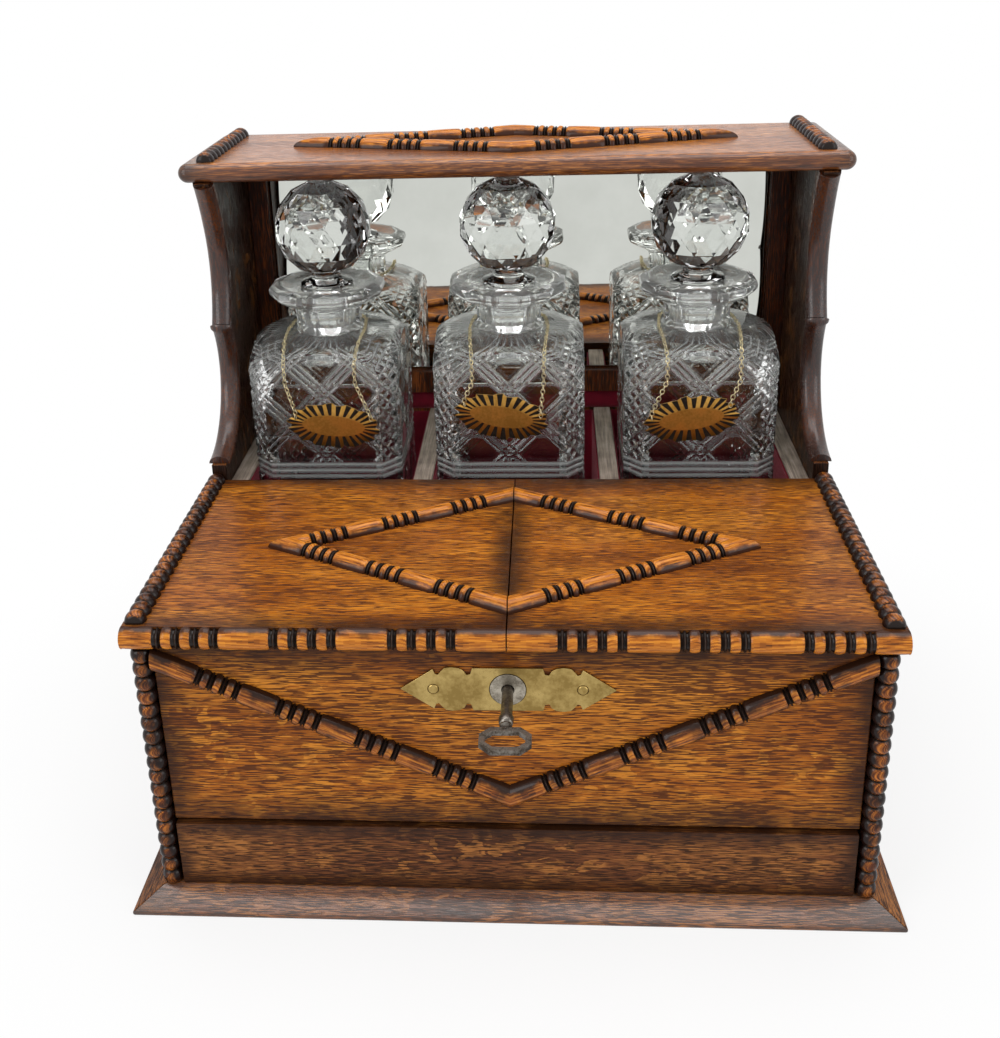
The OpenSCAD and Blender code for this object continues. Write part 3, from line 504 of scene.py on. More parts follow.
def bead_stations(length, radius, pitch):
    """(place, radius, groove) along a row of round beads."""
    count = round(length / pitch)
    step = length / count
    stations = []
    for i in range(count):
        for j in range(BEAD_STEPS):
            t = j / BEAD_STEPS
            rise = math.sin(math.pi * t) ** 0.55
            dark = max(0.0, 1 - rise * 1.35)
            stations.append(((i + t) * step, radius - BEAD_DEPTH * (1 - rise), dark))
    stations.append((length, radius - BEAD_DEPTH, 1.0))
    return stations


def turned_bmesh(start, direction, out, stations, sweep=180, steps=20):
    """A strip turned about the line from start: its bulge faces out, its flat back lies behind."""
    direction, out = Vector(direction).normalized(), Vector(out).normalized()
    side = direction.cross(out)
    bm = bmesh.new()
    groove = bm.verts.layers.float.new("groove")
    crest = bm.verts.layers.float.new("crest")
    run = bm.loops.layers.uv.new("Run")
    closed = sweep >= 360
    count = steps if closed else steps + 1
    spread = math.radians(sweep)
    rows = []
    for place, radius, dark in stations:
        row = []
        for k in range(count):
            turn = spread * (k / steps - 0.5)
            ray = math.cos(turn) * out + math.sin(turn) * side
            vert = bm.verts.new(Vector(start) + direction * place + ray * radius)
            vert[groove] = dark
            # How far the surface faces out; the material paints shade where this is low
            vert[crest] = max(0.0, math.cos(turn))
            row.append(vert)
        rows.append(row)
    for (place, radius, _), low, high in zip(stations, rows, rows[1:]):
        for k in range(steps):
            n = (k + 1) % count
            face = bm.faces.new((low[k], low[n], high[n], high[k]))
            for loop, (u, v) in zip(face.loops, ((0, k), (0, k + 1), (1, k + 1), (1, k))):
                loop[run].uv = (place + u * MM, v / steps * radius * spread)
        if not closed:
            bm.faces.new((low[-1], low[0], high[0], high[-1]))
    bm.faces.new(rows[0])
    bm.faces.new(list(reversed(rows[-1])))
    bmesh.ops.recalc_face_normals(bm, faces=bm.faces)
    return bm


def cut(bm, point, away):
    """Cuts off what lies beyond a plane and closes the cut."""
    geometry = bm.verts[:] + bm.edges[:] + bm.faces[:]
    made = bmesh.ops.bisect_plane(bm, geom=geometry, plane_co=point, plane_no=away,
                                  clear_outer=True, dist=1e-7)
    rim = [e for e in made["geom_cut"] if isinstance(e, bmesh.types.BMEdge) and e.is_boundary]
    bmesh.ops.edgenet_fill(bm, edges=rim)


def joined(name, parts):
    """One mesh of several bmesh parts."""
    whole = bmesh.new()
    for part in parts:
        scratch = baked("scratch", part)
        whole.from_mesh(scratch)
        bpy.data.meshes.remove(scratch)
    mesh = baked(name, whole)
    smooth_by_angle(mesh, 50)
    return mesh


def turned_piece(node, parts, material):
    stand_in("turned_" + node, joined(node + "_turned", parts), node, material)


def mirrored(bm):
    """The same strip on the other side of the middle."""
    other = bm.copy()
    bmesh.ops.scale(other, vec=(-1, 1, 1), verts=other.verts)
    bmesh.ops.reverse_faces(other, faces=other.faces)
    return other


# Sizes that the mouldings share with the model

CASE_H = 142.5 * MM
STRIP_R, RAIL_R, NOSING_R, COLUMN_R = 5.3 * MM, 5.1 * MM, 5.5 * MM, 5.0 * MM
RAIL_PITCH, COLUMN_PITCH = 7.2 * MM, 7.45 * MM
DIAMOND_PITCH, CHEVRON_PITCH, NOSING_PITCH = 5.6 * MM, 6.1 * MM, 8.75 * MM
# Half lengths of the diamonds, and their ring groups as shares of an arm
LID_DIAMOND, CANOPY_DIAMOND = (112 * MM, 57.5 * MM), (106.5 * MM, 28.5 * MM)
LID_RINGS, CANOPY_RINGS = (0.22, 0.53, 0.84), (0.205, 0.56, 0.89)
LID_SEAM = 0.6 * MM
NOSING_GROUPS = [37.5 * MM, 91 * MM, 144.5 * MM]
# The chevron's ends below the lids, its point below the ends, and its length past each mitre
CHEVRON_DROP, CHEVRON_FALL, CHEVRON_TAIL = 6.5 * MM, 73.5 * MM, 12 * MM
CHEVRON_GROUPS = [26 * MM, 61.7 * MM, 97.5 * MM, 133.5 * MM]


def diamond_half(centre, size, places, gap):
    """The right half of a diamond: two arms from the apexes, mitred at the side tip."""
    dx, dy = size
    length = math.hypot(dx, dy)
    tail = STRIP_R * max(dx, dy) / min(dx, dy) + 1 * MM
    groups = [tail + p * length for p in places]
    stations = strip_stations(length + 2 * tail, STRIP_R, groups, DIAMOND_PITCH)
    arms = []
    for sign in (-1, 1):
        apex = Vector((0, sign * dy, 0)) + centre
        direction = Vector((dx, -sign * dy, 0)).normalized()
        bm = turned_bmesh(apex - direction * tail, direction, (0, 0, 1), stations)
        cut(bm, centre + Vector((gap, 0, 0)), (-1, 0, 0))
        cut(bm, centre, (0, -sign, 0))
        arms.append(bm)
    return arms


def lid_diamonds(material):
    """Half a diamond on each lid, parted at the seam."""
    low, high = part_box("lid_diamond_right")
    centre = Vector((0, (low.y + high.y) / 2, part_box("lid_right")[1].z))
    for side in ("left", "right"):
        arms = diamond_half(centre, LID_DIAMOND, LID_RINGS, LID_SEAM / 2)
        if side == "left":
            arms = [mirrored(bm) for bm in arms]
        turned_piece("lid_diamond_" + side, arms, material)


def canopy_diamond(material):
    """The long diamond on the canopy."""
    low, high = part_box("canopy_diamond")
    centre = Vector((0, (low.y + high.y) / 2, low.z))
    right = diamond_half(centre, CANOPY_DIAMOND, CANOPY_RINGS, 0.0)
    turned_piece("canopy_diamond", right + [mirrored(bm) for bm in right], material)


def bead_rails(material):
    """The beaded rails along the sides of the lids and the canopy."""
    for node in ("lid_bobbins_left", "lid_bobbins_right", "canopy_bobbins"):
        low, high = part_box(node)
        stations = bead_stations(high.y - low.y, RAIL_R, RAIL_PITCH)
        middles = [(low.x + high.x) / 2]
        if node == "canopy_bobbins":
            middles = [low.x + RAIL_R, high.x - RAIL_R]
        parts = [turned_bmesh((x, low.y, low.z), (0, 1, 0), (0, 0, 1), stations) for x in middles]
        turned_piece(node, parts, material)


def nosings(material):
    """The ring-turned nosing on the front edge of each lid."""
    for side in ("left", "right"):
        node = "nosing_" + side
        low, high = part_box(node)
        stations = strip_stations(high.x - low.x, NOSING_R, NOSING_GROUPS, NOSING_PITCH)
        start = (LID_SEAM / 2, high.y, (low.z + high.z) / 2)
        bm = turned_bmesh(start, (1, 0, 0), (0, -1, 0), stations)
        if side == "left":
            bm = mirrored(bm)
        turned_piece(node, [bm], material)


def columns(material):
    """The bobbin columns at the front corners, turned all round."""
    for node in ("column_left", "column_right"):
        low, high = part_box(node)
        middle = (low + high) / 2
        stations = bead_stations(high.z - low.z, COLUMN_R, COLUMN_PITCH)
        bm = turned_bmesh((middle.x, middle.y, low.z), (0, 0, 1), (0, -1, 0), stations, 360, 32)
        turned_piece(node, [bm], material)


def chevron(material):
    """The wide V on the front panel, mitred at its point."""
    panel_low, panel_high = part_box("front_panel")
    half = panel_high.x
    end = Vector((half - 0.5 * MM, panel_low.y, CASE_H - CHEVRON_DROP))
    point = Vector((0, panel_low.y, end.z - CHEVRON_FALL))
    direction = (end - point).normalized()
    tilt = math.atan2(direction.z, direction.x)
    groups = [CHEVRON_TAIL + g / math.cos(tilt) for g in CHEVRON_GROUPS]
    length = (end - point).length + 2 * CHEVRON_TAIL
    stations = strip_stations(length, STRIP_R, groups, CHEVRON_PITCH)
    arm = turned_bmesh(point - direction * CHEVRON_TAIL, direction, (0, -1, 0), stations)
    cut(arm, point, (-1, 0, 0))
    cut(arm, Vector((half, 0, 0)), (1, 0, 0))
    cut(arm, Vector((0, 0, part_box("chevron")[1].z)), (0, 0, 1))
    turned_piece("chevron", [arm, mirrored(arm)], material)


# Glassware

BODY_W, BODY_H, CHAMFER = 86 * MM, 147.5 * MM, 10 * MM
NECK_R, BORE_R, WALL = 20 * MM, 11 * MM, 6 * MM
# Spacing of the mesh that carries the cuts, and its points on a side and on a corner
GRID = 0.8 * MM
SIDE_POINTS, CORNER_POINTS = round(66 * MM / GRID), round(14 * MM / GRID)
# Diagonal bands of three V cuts on the sides, a closer lattice on the corners
LATTICE, BAND_GAP, CUT_W, CUT_DEPTH = 37 * MM, 4.3 * MM, 3.0 * MM, 1.2 * MM
CORNER_LATTICE = 7.5 * MM
# Heights of the level cuts, of the borders, and of the field that the lattice fills
STEPS_Z, STEP_W = (5 * MM, 9 * MM, 69.8 * MM, 73.4 * MM, 77 * MM), 3.4 * MM
BORDERS_Z, BORDER_W = (94.8 * MM, 125.7 * MM), 2.4 * MM
FIELD_LOW, FIELD_MIDDLE = 79 * MM, 121 * MM
LOWER_FIELD = (12 * MM, 66 * MM)
# The shoulder's dome: radius and height at both ends of its arc, its sag, where it sets in
DOME_LOW, DOME_HIGH = (57.2 * MM, 125 * MM), (NECK_R, BODY_H)
DOME_SAG, DOME_FROM = 9 * MM, 122 * MM
# Share of the width and height (mm) of the rings that round the foot's edge
FOOT_PROFILE = ((0.975, 0.0), (0.995, 0.5))
# Heights (mm) of the rings down the inside, below the dome
INSIDE_Z = (96, 60, 24, 13, 10.5, 9.3)
# Radius, height (mm) and share of the twelve flats, up the neck, over the lip and down the bore
NECK_PROFILE = ((20.0, 147.7, 0.0), (19.5, 148.4, 0.6), (19.2, 149.4, 1), (19.2, 158, 1),
                (19.8, 160.5, 1), (22, 163, 0.5), (26, 165, 0.3), (30, 166.8, 0.6),
                (32.6, 168.4, 0.9), (33.8, 170.2, 1), (34.0, 172, 1), (33.4, 173.9, 1),
                (31.4, 175.1, 0.9), (27, 175.4, 0.9), (22, 174.6, 0.3), (18, 174.0, 0),
                (14, 173.7, 0), (12, 173.6, 0), (11.2, 172.8, 0), (11, 171.5, 0), (11, 150, 0))
# Twelve flats on the neck; the neck and lip carry this even share of painted sheen
NECK_FLATS, NECK_PAINTED_SHEEN = 12, 0.3


def body_outline():
    """Points round a chamfered square, each with its place from the middle of its side."""
    half = BODY_W / 2
    reach = half - CHAMFER
    points = []
    for quarter in range(4):
        turn = Matrix.Rotation(quarter * math.pi / 2, 2)
        for k in range(SIDE_POINTS):
            u = -reach + 2 * reach * k / SIDE_POINTS
            points.append((turn @ Vector((u, -half)), u, False))
        for k in range(CORNER_POINTS):
            t = k / CORNER_POINTS
            corner = Vector((half - CHAMFER + CHAMFER * t, -half + CHAMFER * t))
            points.append((turn @ corner, (t - 0.5) * CHAMFER * math.sqrt(2), True))
    return points


def vee(value, pitch, offset=0.0):
    """Depth from 0 to 1 of the V cuts that repeat at a pitch."""
    off = (value - offset + pitch / 2) % pitch - pitch / 2
    return max(0.0, 1 - abs(off) / (CUT_W / 2))


def cut_depth(u, v, on_corner):
    """Depth from 0 to 1 of the lattice: bands of triple cuts, closer single cuts on the corners."""
    if on_corner:
        return max(vee(u + v, CORNER_LATTICE), vee(u - v, CORNER_LATTICE))
    deep = 0.0
    for diagonal in (u + v, u - v):
        for k in (-1, 0, 1):
            deep = max(deep, vee(diagonal, LATTICE, k * BAND_GAP))
    return deep


def line_depth(z, places, width):
    """Depth from 0 to 1 of level cuts at some heights."""
    return max(max(0.0, 1 - abs(z - place) / (width / 2)) for place in places)


def wall_depth(u, z, v, on_corner):
    """Depth from 0 to 1 of the level cuts, and of the borders and the lattice."""
    level = line_depth(z, STEPS_Z, STEP_W)
    field = 0.0
    if z > FIELD_LOW or LOWER_FIELD[0] < z < LOWER_FIELD[1]:
        lattice = cut_depth(u, v - FIELD_MIDDLE, on_corner)
        field = max(lattice, 0.7 * line_depth(z, BORDERS_Z, BORDER_W))
    return level, field


def dome_radius(z):
    """Outer radius of the shoulder's dome at a height."""
    low, high = DOME_LOW, DOME_HIGH
    chord = math.dist(low, high)
    radius = (chord * chord / 4 + DOME_SAG * DOME_SAG) / (2 * DOME_SAG)
    side = ((high[1] - low[1]) / chord, (low[0] - high[0]) / chord)
    middle = ((low[0] + high[0]) / 2, (low[1] + high[1]) / 2)
    centre = [middle[k] + side[k] * (DOME_SAG - radius) for k in range(2)]
    rise = min(max(z - centre[1], -radius), radius)
    return centre[0] + math.sqrt(max(0.0, radius * radius - rise * rise))


def flat_sided(angle, radius, share):
    """Radius of the neck with flats ground on it, by a share from 0 to 1."""
    part = 2 * math.pi / NECK_FLATS
    off = (angle + part / 2) % part - part / 2
    return radius * (1 - share + share * math.cos(part / 2) / math.cos(off))


def body_ring(outline, z):
    """A ring of the cut outside of the body, each point with its share of painted sheen.

    On the dome of the shoulder the cuts go down as well as in, along its slope.
    """
    ring = []
    dome = dome_radius(z) if z > DOME_FROM else math.inf
    fade = min(1.0, max(0.0, (BODY_H - 2 * MM - z) / (4 * MM)))
    # Painted sheen on the lattice, rising with height to full on the shoulder
    painted_sheen_rise = min(1.0, max(0.15, (z - 85 * MM) / (45 * MM)))
    for point, u, on_corner in outline:
        reach = min(point.length, dome)
        v = z + (point.length - reach) * 0.8
        level, field = wall_depth(u * reach / point.length, z, v, on_corner)
        depth = max(level, field) * fade * CUT_DEPTH
        steep = min(1.0, (point.length - reach) / (8 * MM))
        spot = point.normalized() * (reach - depth * (1 - 0.5 * steep))
        # Share of painted sheen: full in the level cuts, by height in the lattice, a little on the
        # dome
        painted_sheen = max(level, field * painted_sheen_rise, 0.27 * steep)
        ring.append((spot.x, spot.y, z - 0.85 * steep * depth, painted_sheen))
    return ring


def round_ring(outline, radius, z, share):
    """A ring of the neck or the lip, with an even share of painted sheen."""
    ring = []
    for point, _, _ in outline:
        spot = point.normalized() * flat_sided(math.atan2(point.y, point.x), radius, share)
        ring.append((spot.x, spot.y, z, NECK_PAINTED_SHEEN))
    return ring


def inner_ring(outline, z):
    """A ring of the smooth inside of the body."""
    ring = []
    size = (BODY_W / 2 - WALL) / (BODY_W / 2)
    dome = dome_radius(z + WALL * 0.8) - WALL * 0.9 if z > DOME_FROM - 10 * MM else math.inf
    for point, _, _ in outline:
        spot = point * size
        if spot.length > dome:
            spot = spot.normalized() * max(dome, BORE_R)
        ring.append((spot.x, spot.y, z, 0.0))
    return ring


def decanter_rings(outline):
    """All rings of a decanter, up the outside, over the lip and down the inside."""
    rings = [[(point.x * size, point.y * size, z * MM, 0.0) for point, _, _ in outline]
             for size, z in FOOT_PROFILE]
    z = 1.3 * MM
    while z < BODY_H - 0.4 * MM:
        rings.append(body_ring(outline, z))
        z += GRID if z < 128 * MM else GRID * 0.6
    rings += [round_ring(outline, radius * MM, z * MM, share) for radius, z, share in NECK_PROFILE]
    z = 142 * MM
    while z > 110 * MM:
        rings.append(inner_ring(outline, z))
        z -= 2 * MM
    for z in INSIDE_Z:
        size = 1 - max(0.0, (13 - z) / 4) * 0.06
        rings.append([(x * size, y * size, z * MM, painted_sheen)
                      for x, y, _, painted_sheen in inner_ring(outline, z * MM)])
    return rings


def ring_mesh(name, rings):
    """A closed mesh over rings of equal length, capped at both ends, with its painted sheen."""
    count = len(rings[0])
    verts = np.array([point for ring in rings for point in ring])
    faces = []
    for r in range(len(rings) - 1):
        low, high = r * count, (r + 1) * count
        for k in range(count):
            n = (k + 1) % count
            faces.append((low + k, low + n, high + n, high + k))
    faces.append(tuple(range(count - 1, -1, -1)))
    faces.append(tuple(range(len(verts) - count, len(verts))))
    mesh = bpy.data.meshes.new(name)
    mesh.from_pydata(verts[:, :3].tolist(), [], faces)
    # The 'cut' attribute holds each point's share of painted sheen
    mesh.attributes.new("cut", "FLOAT", "POINT").data.foreach_set("value", verts[:, 3])
    smooth_by_angle(mesh, 30)
    return mesh


def decanter_home(i):
    """The middle of a decanter's foot, where its own frame starts."""
    low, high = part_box("decanter_%d" % i)
    return Vector(((low.x + high.x) / 2, (low.y + high.y) / 2, low.z))


def stand_in_thrice(master, node, material):
    """A copy of one mesh in each decanter's frame, in place of the numbered nodes."""
    for i in (1, 2, 3):
        mesh = master.copy()
        mesh.transform(Matrix.Translation(decanter_home(i)))
        stand_in("cut_%s_%d" % (node, i), mesh, "%s_%d" % (node, i), material)
    bpy.data.meshes.remove(master)


# Stoppers
BALL_R, BALL_SIDES, BALL_Z = 27.8 * MM, 14, 207.1 * MM
# Latitudes of the ball's rows of corners, in degrees
BALL_ROWS = (-75, -53, -32, -10.7, 10.7, 32, 53, 75)
# Radius and height (mm) up the peg and its collar
PEG = ((9.2, 151.7), (9.4, 152.2), (10.6, 172.7), (10.6, 174.0), (15.2, 174.0), (15.5, 174.6),
       (15.2, 175.7), (8.8, 177.7), (8.6, 179.6), (7.4, 180.2))


def stopper_mesh():
    """A peg with a collar under a ball cut all over with flat triangles."""
    rings = [(radius * MM, z * MM, 0.0) for radius, z in PEG]
    for row, tilt in enumerate(np.radians(BALL_ROWS)):
        rings.append((BALL_R * math.cos(tilt), BALL_Z + BALL_R * math.sin(tilt), 0.5 * (row % 2)))
    n = BALL_SIDES
    verts = []
    for radius, z, offset in rings:
        for k in range(n):
            turn = (k + offset) * 2 * math.pi / n
            verts.append((radius * math.cos(turn), radius * math.sin(turn), z))
    faces = []
    for r in range(len(rings) - 1):
        low, high = r * n, (r + 1) * n
        row = r - len(PEG)
        for k in range(n):
            m = (k + 1) % n
            if row < 0:
                faces.append((low + k, low + m, high + m, high + k))
            elif row % 2 == 0:
                faces += [(low + k, low + m, high + k), (low + m, high + m, high + k)]
            else:
                faces += [(low + k, high + m, high + k), (low + k, low + m, high + m)]
    faces.append(tuple(range(n - 1, -1, -1)))
    faces.append(tuple(range(len(verts) - n, len(verts))))
    mesh = bpy.data.meshes.new("cut_stopper")
    mesh.from_pydata(verts, [], faces)
    smooth_by_angle(mesh, 10)
    return mesh


# Labels and chains

LABEL_W, LABEL_H, LABEL_T = 53 * MM, 27 * MM, 0.8 * MM
# Tilt in degrees, place across and height of the labels, in their decanters' frames
LABEL_TILT = (-5, -10, 8)
LABEL_OFF = (6 * MM, -4 * MM, -6 * MM)
LABEL_Z = (102 * MM, 107 * MM, 105 * MM)
RAYS, OVAL_W, OVAL_H = 28, 0.34 * LABEL_W, 0.235 * LABEL_H
CHAIN_R, CHAIN_GAP = 0.7 * MM, 0.8 * MM
# A link's half length, half width and wire, and the step from link to link
LINK_L, LINK_W, WIRE_R, LINK_STEP = 1.6 * MM, 1.1 * MM, 0.27 * MM, 2.35 * MM
LINK_STEPS, WIRE_SIDES = 10, 5


def label_place(i):
    """The frame of a label: X along it, Y up, Z to the front."""
    home = decanter_home(i + 1)
    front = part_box("label_%d" % (i + 1))[1].y
    tilt = Matrix.Rotation(math.radians(LABEL_TILT[i]), 4, "Z")
    upright = Matrix.Rotation(math.pi / 2, 4, "X") @ tilt
    return Matrix.Translation((home.x + LABEL_OFF[i], front, home.z + LABEL_Z[i])) @ upright


def label_bmesh():
    """A sunburst: brass and black rays by turns round a plain oval, on a thin plate."""
    bm = bmesh.new()
    count = RAYS * 2
    rim, raised, edge, back = [], [], [], []
    for k in range(count):
        turn = (k - 0.5 - 0.1 * (-1) ** k) * 2 * math.pi / count
        x, y = OVAL_W * math.cos(turn), OVAL_H * math.sin(turn)
        rim.append(bm.verts.new((x, y, LABEL_T)))
        raised.append(bm.verts.new((x * 0.96, y * 0.94, LABEL_T + 0.3 * MM)))
        turn = (k - 0.5 + 0.1 * (-1) ** k) * 2 * math.pi / count
        sway = 1.0 - 0.07 * (k % 4 in (1, 2)) - 0.03 * math.sin(k * 2.4)
        x, y = LABEL_W / 2 * math.cos(turn) * sway, LABEL_H / 2 * math.sin(turn) * sway
        edge.append(bm.verts.new((x, y, LABEL_T * 0.8)))
        back.append(bm.verts.new((x, y, 0)))
    black = []
    for k in range(count):
        n = (k + 1) % count
        ray = bm.faces.new((rim[k], edge[k], edge[n], rim[n]))
        if k % 2:
            ray.material_index = 1
            black.append(ray)
        bm.faces.new((edge[k], back[k], back[n], edge[n]))
        bm.faces.new((raised[k], rim[k], rim[n], raised[n]))
    bm.faces.new(raised)
    bm.faces.new(list(reversed(back)))
    bmesh.ops.inset_individual(bm, faces=black, thickness=0.12 * MM, depth=-0.12 * MM)
    return bm


def labels(gold, black):
    for i in range(3):
        bm = label_bmesh()
        bmesh.ops.transform(bm, matrix=label_place(i), verts=bm.verts)
        mesh = baked("sunburst_%d" % (i + 1), bm)
        piece = stand_in("sunburst_label_%d" % (i + 1), mesh, "label_%d" % (i + 1), gold)
        mesh.materials.append(black)
        smooth_by_angle(mesh, 30)
        piece.modifiers.new("crisp", "WEIGHTED_NORMAL")


def chain_path(i):
    """The chain's route over the shoulder and round the neck, in the decanter's own frame."""
    tilt = Matrix.Rotation(math.radians(LABEL_TILT[i]), 2)
    front = -BODY_W / 2
    face = front - 1.1 * MM - LABEL_T - CHAIN_R
    ring = NECK_R + CHAIN_R + CHAIN_GAP

    def side(s):
        hole = tilt @ Vector((s * 0.41 * LABEL_W, 0.16 * LABEL_H))
        x, z = LABEL_OFF[i] + hole.x, LABEL_Z[i] + hole.y
        return [(x, face, z), (x, face, z + 3 * MM),
                (s * (ring - 1.5 * MM), front - 1.6 * MM, BODY_H - 20 * MM),
                (s * (ring - 1.5 * MM), front - 1.6 * MM, BODY_H - 9 * MM),
                (s * (ring - 1 * MM), front + 4 * MM, BODY_H - 3.4 * MM),
                (s * ring, front + 14 * MM, BODY_H + 1 * MM),
                (s * (ring + 1 * MM), -12 * MM, BODY_H + 2 * MM)]

    loop = [(ring * math.cos(a), ring * math.sin(a), BODY_H + 2.5 * MM)
            for a in np.radians(range(180, -1, -15))]
    return [Vector(point) for point in side(-1) + loop + side(1)[::-1]]


def spaced(path, step):
    """Points at even steps along a path, each with its direction."""
    out, carry = [], 0.0
    for a, b in zip(path, path[1:]):
        length = (b - a).length
        way = (b - a) / length
        while carry < length:
            out.append((a + way * carry, way))
            carry += step
        carry -= length
    return out


def add_link(bm, centre, way, flat):
    """One oval link of round wire, flat or on edge."""
    across = way.cross(Vector((0.3, 1, 0.2))).normalized()
    if flat:
        across = way.cross(across).normalized()
    lift = way.cross(across)
    rows = []
    for k in range(LINK_STEPS):
        a = k * 2 * math.pi / LINK_STEPS
        spoke = way * math.cos(a) * LINK_L + across * math.sin(a) * LINK_W
        ray = (way * math.cos(a) * 0.6 + across * math.sin(a)).normalized()
        wire = [(ray * math.cos(b) + lift * math.sin(b)) * WIRE_R
                for b in np.radians(range(0, 360, 360 // WIRE_SIDES))]
        rows.append([bm.verts.new(centre + spoke + offset) for offset in wire])
    for low, high in zip(rows, rows[1:] + rows[:1]):
        for k in range(WIRE_SIDES):
            n = (k + 1) % WIRE_SIDES
            bm.faces.new((low[k], low[n], high[n], high[k]))


def chains(gold):
    for i in range(3):
        node = "label_chain_%d" % (i + 1)
        bm = bmesh.new()
        for k, (point, way) in enumerate(spaced(chain_path(i), LINK_STEP)):
            add_link(bm, decanter_home(i + 1) + point, way, k % 2 == 0)
        mesh = baked(node + "_links", bm)
        mesh.shade_smooth()
        stand_in(node + "_links", mesh, node, gold)


# Stage

# Strength of the even light on surfaces
AMBIENT = 0.42


def eye(shader):
    """1 for what the camera, a reflection or the glass sees, 0 for the light on surfaces."""
    path = shader.add("LightPath").outputs
    seen = shader.math("MAXIMUM", path["Is Camera Ray"], path["Is Glossy Ray"])
    return shader.math("MAXIMUM", seen, path["Is Transmission Ray"])


def make_floor():
    """A wide pale floor that keeps the object's shadow and fades to white away from it."""
    bpy.ops.mesh.primitive_plane_add(size=8)
    floor = bpy.context.object
    floor.name = "floor"
    shader = Shader("paper_floor")
    place = shader.place()
    mottle = shader.noise(place, 3.0, 2.0)
    tone = shader.ramp(mottle, (0.3, rgb(0.86, 0.86, 0.86)), (0.7, rgb(0.88, 0.88, 0.88)))
    surface = shader.add("BsdfDiffuse", {"Color": tone}).outputs[0]
    white = shader.add("Emission", {"Strength": 1.0}).outputs[0]
    reach = shader.add("VectorMath", {0: place}, operation="LENGTH").outputs["Value"]
    share = shader.times(eye(shader), shader.range(reach, 0.2, 0.38, 0.8, 1.0))
    floor.data.materials.append(shader.finish(shader.mix_shaders(share, surface, white)))


def make_world():
    """A dim even light on surfaces, plain white where the camera or a reflection sees it."""
    shader = Shader("studio", bpy.data.worlds, "OutputWorld")
    strength = shader.add("Mix", {0: eye(shader), 2: AMBIENT, 3: 1.0}).outputs[0]
    light = shader.add("Background", {"Color": rgb(1, 1, 1), "Strength": strength}).outputs[0]
    bpy.context.scene.world = shader.finish(light)


def area_lamp(name, place, target, size, power):
    data = bpy.data.lights.new(name, "AREA")
    data.shape = "RECTANGLE"
    data.size, data.size_y = size
    data.energy = power
    lamp = placed(name, data)
    lamp.location = place
    lamp.rotation_euler = (Vector(target) - Vector(place)).to_track_quat("-Z", "Y").to_euler()


def make_lights():
    area_lamp("overhead", (0.0, 0.1, 1.5), (0, 0, 0.1), (1.4, 1.0), 14)
    area_lamp("window", (-1.3, -1.1, 1.0), (0, 0, 0.15), (0.9, 1.2), 11)
    area_lamp("fill", (1.4, -0.9, 0.8), (0, 0, 0.15), (0.9, 1.1), 7)


# Boards, linings and metal

# Node, stain and grain axis; then, unless plain, the axes of the darker edges, the edges'
# width (mm), the share of flecks and the coat
PLAIN = ("", 0, 0.0, 0.1)
BOARDS = (
    ("lid_left", OAK, "x", "xy", 16, 0.25, 0.1),
    ("lid_right", OAK, "x", "xy", 16, 0.25, 0.1),
    ("canopy", OAK, "x", "x", 25, 0.0, 0.35),
    ("front_panel", OAK, "x", "xz", 20, 0.8, 0.1),
    ("compartment_floor", OAK, "x"),
    ("bay_floor", OAK, "x"),
    ("bay_rail", RED, "x"),
    ("drawer_runners", OAK, "y"),
    ("drawer_box", OAK, "x"),
    ("drawer_bottom", OAK, "x"),
    ("base_board", OAK, "x"),
    ("plinth_front", RED, "x", "x", 30, 0.6, 0.5),
    ("plinth_left", RED, "y", "", 0, 0.3, 0.1),
    ("plinth_right", RED, "y", "", 0, 0.3, 0.1),
    ("side_left", RED, "z", "", 0, 0.3, 0.06),
    ("side_right", RED, "z", "", 0, 0.3, 0.06),
    ("edge_moulding_left", BROWN, "z", "", 0, 0.0, 0.4),
    ("edge_moulding_right", BROWN, "z", "", 0, 0.0, 0.4),
    ("back_board", RED, "z"),
    ("mirror_frame", BROWN, "z"),
    ("drawer_front", RED, "x", "xz", 12, 0.9, 0.1),
)
# Faces that take deeper tones: the sides' inner and front faces go near black, the canopy's
# rim and underside deep red, partly the rim's own colour and partly painted shade on its lower
# faces
STAIN_AND_SHADE_FACES = {
    "side_left": (((1, 0, 0), (0, -1, 0)), BLACK),
    "side_right": (((-1, 0, 0), (0, -1, 0)), BLACK),
    "canopy": (((0, -1, 0), (1, 0, 0), (-1, 0, 0), (0, 0, -1)), RED),
}
# Side mouldings: how much wider, how far back their top end leans and over what height
SWELL, LEAN, LEAN_H = 1.3, 5 * MM, 30 * MM
# The panel under the mirror: half its width, the rail above it, the gap round its velvet
PANEL_HALF, RAIL_H, VELVET_GAP = 152.4 * MM, 14.5 * MM, 0.2 * MM
VELVET_COLUMNS, VELVET_ROWS = 60, 6


def boards():
    """Plain boards: rounded edges, grain along each board, darker toward its ends."""
    for seed, (node, tones, axis, *looks) in enumerate(BOARDS):
        axes, band, flecks, coat = looks or PLAIN
        shade = (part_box(node), axes, band * MM) if axes else None
        stain_and_shade_faces, stain_and_shade_tones = STAIN_AND_SHADE_FACES.get(node, ((), None))
        material = wood(node + "_oak", tones, axis, 1.7 * seed, shade, stain_and_shade_faces, stain_and_shade_tones, flecks, coat)
        piece = softened(node, material, 0.6)
        if node.startswith("edge_moulding"):
            shape_side_moulding(piece.data, node)


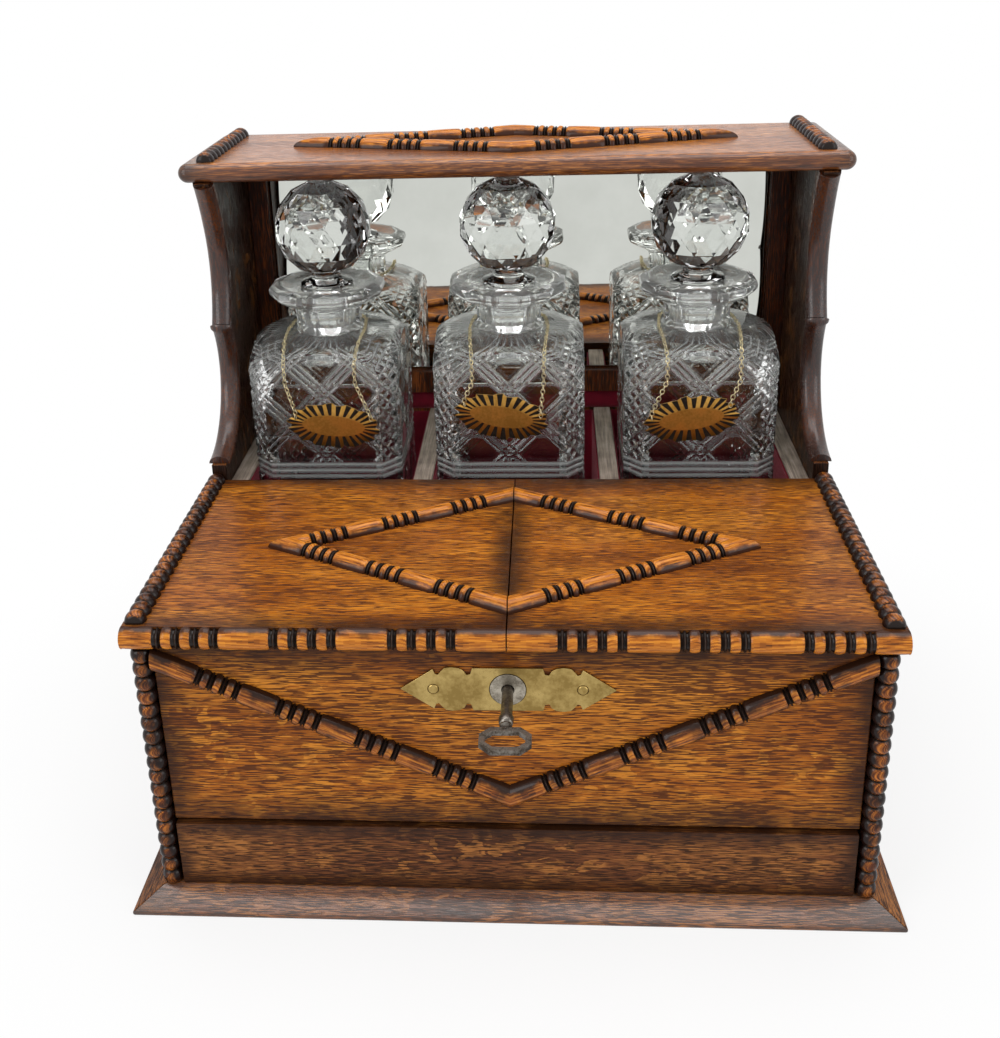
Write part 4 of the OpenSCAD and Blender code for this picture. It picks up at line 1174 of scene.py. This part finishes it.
def shape_side_moulding(mesh, node):
    """Widens a side moulding a little, and draws its top end back and up to the canopy."""
    low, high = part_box(node)
    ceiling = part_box("canopy")[0].z
    middle = (low.x + high.x) / 2
    for vert in mesh.vertices:
        vert.co.x = middle + SWELL * (vert.co.x - middle)
        if vert.co.z > high.z - 1 * MM:
            vert.co.z = ceiling
        vert.co.y += LEAN * max(0.0, (vert.co.z - high.z + LEAN_H) / LEAN_H) ** 2


def velvet_panel(material):
    """The velvet on the panel between the bays and the mirror's lower rail."""
    mirror_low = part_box("mirror_glass")[0]
    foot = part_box("bay_dividers")[1].z + VELVET_GAP
    heights = np.linspace(foot, mirror_low.z - RAIL_H - VELVET_GAP, VELVET_ROWS)
    rows = range(VELVET_ROWS - 1)
    bm = bmesh.new()
    grid = []
    for x in np.linspace(-PANEL_HALF, PANEL_HALF, VELVET_COLUMNS):
        column = []
        for k, z in enumerate(heights):
            swell = 0.5 + 0.45 * math.sin(math.pi * k / len(rows)) + 0.1 * math.sin(x * 130)
            column.append(bm.verts.new((x, mirror_low.y - swell * MM, z)))
        grid.append(column)
    for left, right in zip(grid, grid[1:]):
        for k in rows:
            bm.faces.new((left[k], right[k], right[k + 1], left[k + 1]))
    mesh = baked("velvet_panel", bm)
    mesh.shade_smooth()
    piece = new_piece("velvet_panel", mesh, "case", material)
    thick = piece.modifiers.new("thick", "SOLIDIFY")
    thick.thickness = 0.4 * MM
    thick.offset = 1.0


def linings():
    red, grey = velvet("red_velvet"), grey_wood("bare_boards")
    for i in (1, 2, 3):
        softened("velvet_bay_%d" % i, red, 0.4)
    velvet_panel(red)
    softened("bay_dividers", grey, 0.7)
    softened("bay_liners", grey, 0.7)
    softened("mirror_glass", silvered_glass("old_mirror"), 2.4, 1)


def ironwork():
    gold, iron, steel = metal("old_brass"), metal("worn_steel"), metal("rubbed_steel")
    for node in ("hinges_fixed", "hinges_left", "hinges_right", "lock_plate", "lock_pins"):
        softened(node, gold, 0.2)
    for node in ("lock_bolt", "catch_left", "catch_right"):
        softened(node, iron, 0.2)
    softened("key", iron, 0.7, 3)
    softened("lock_case", steel, 0.2)


def mouldings():
    bright = turned_wood("turned_amber")
    sombre = turned_wood("turned_brown")
    dusky = turned_wood("turned_bead")
    lid_diamonds(bright)
    canopy_diamond(bright)
    chevron(sombre)
    nosings(bright)
    columns(dusky)
    bead_rails(dusky)


def glassware():
    glass = cut_glass("crystal")
    body = ring_mesh("cut_decanter", decanter_rings(body_outline()))
    stand_in_thrice(body, "decanter", glass)
    stand_in_thrice(stopper_mesh(), "stopper", glass)
    labels(metal("gilt_label"), enamel("black_enamel"))
    chains(metal("pale_brass"))


def main():
    make_camera()
    make_floor()
    make_world()
    make_lights()
    boards()
    mouldings()
    glassware()
    linings()
    ironwork()
    bpy.context.scene.view_settings.view_transform = "Standard"


main()
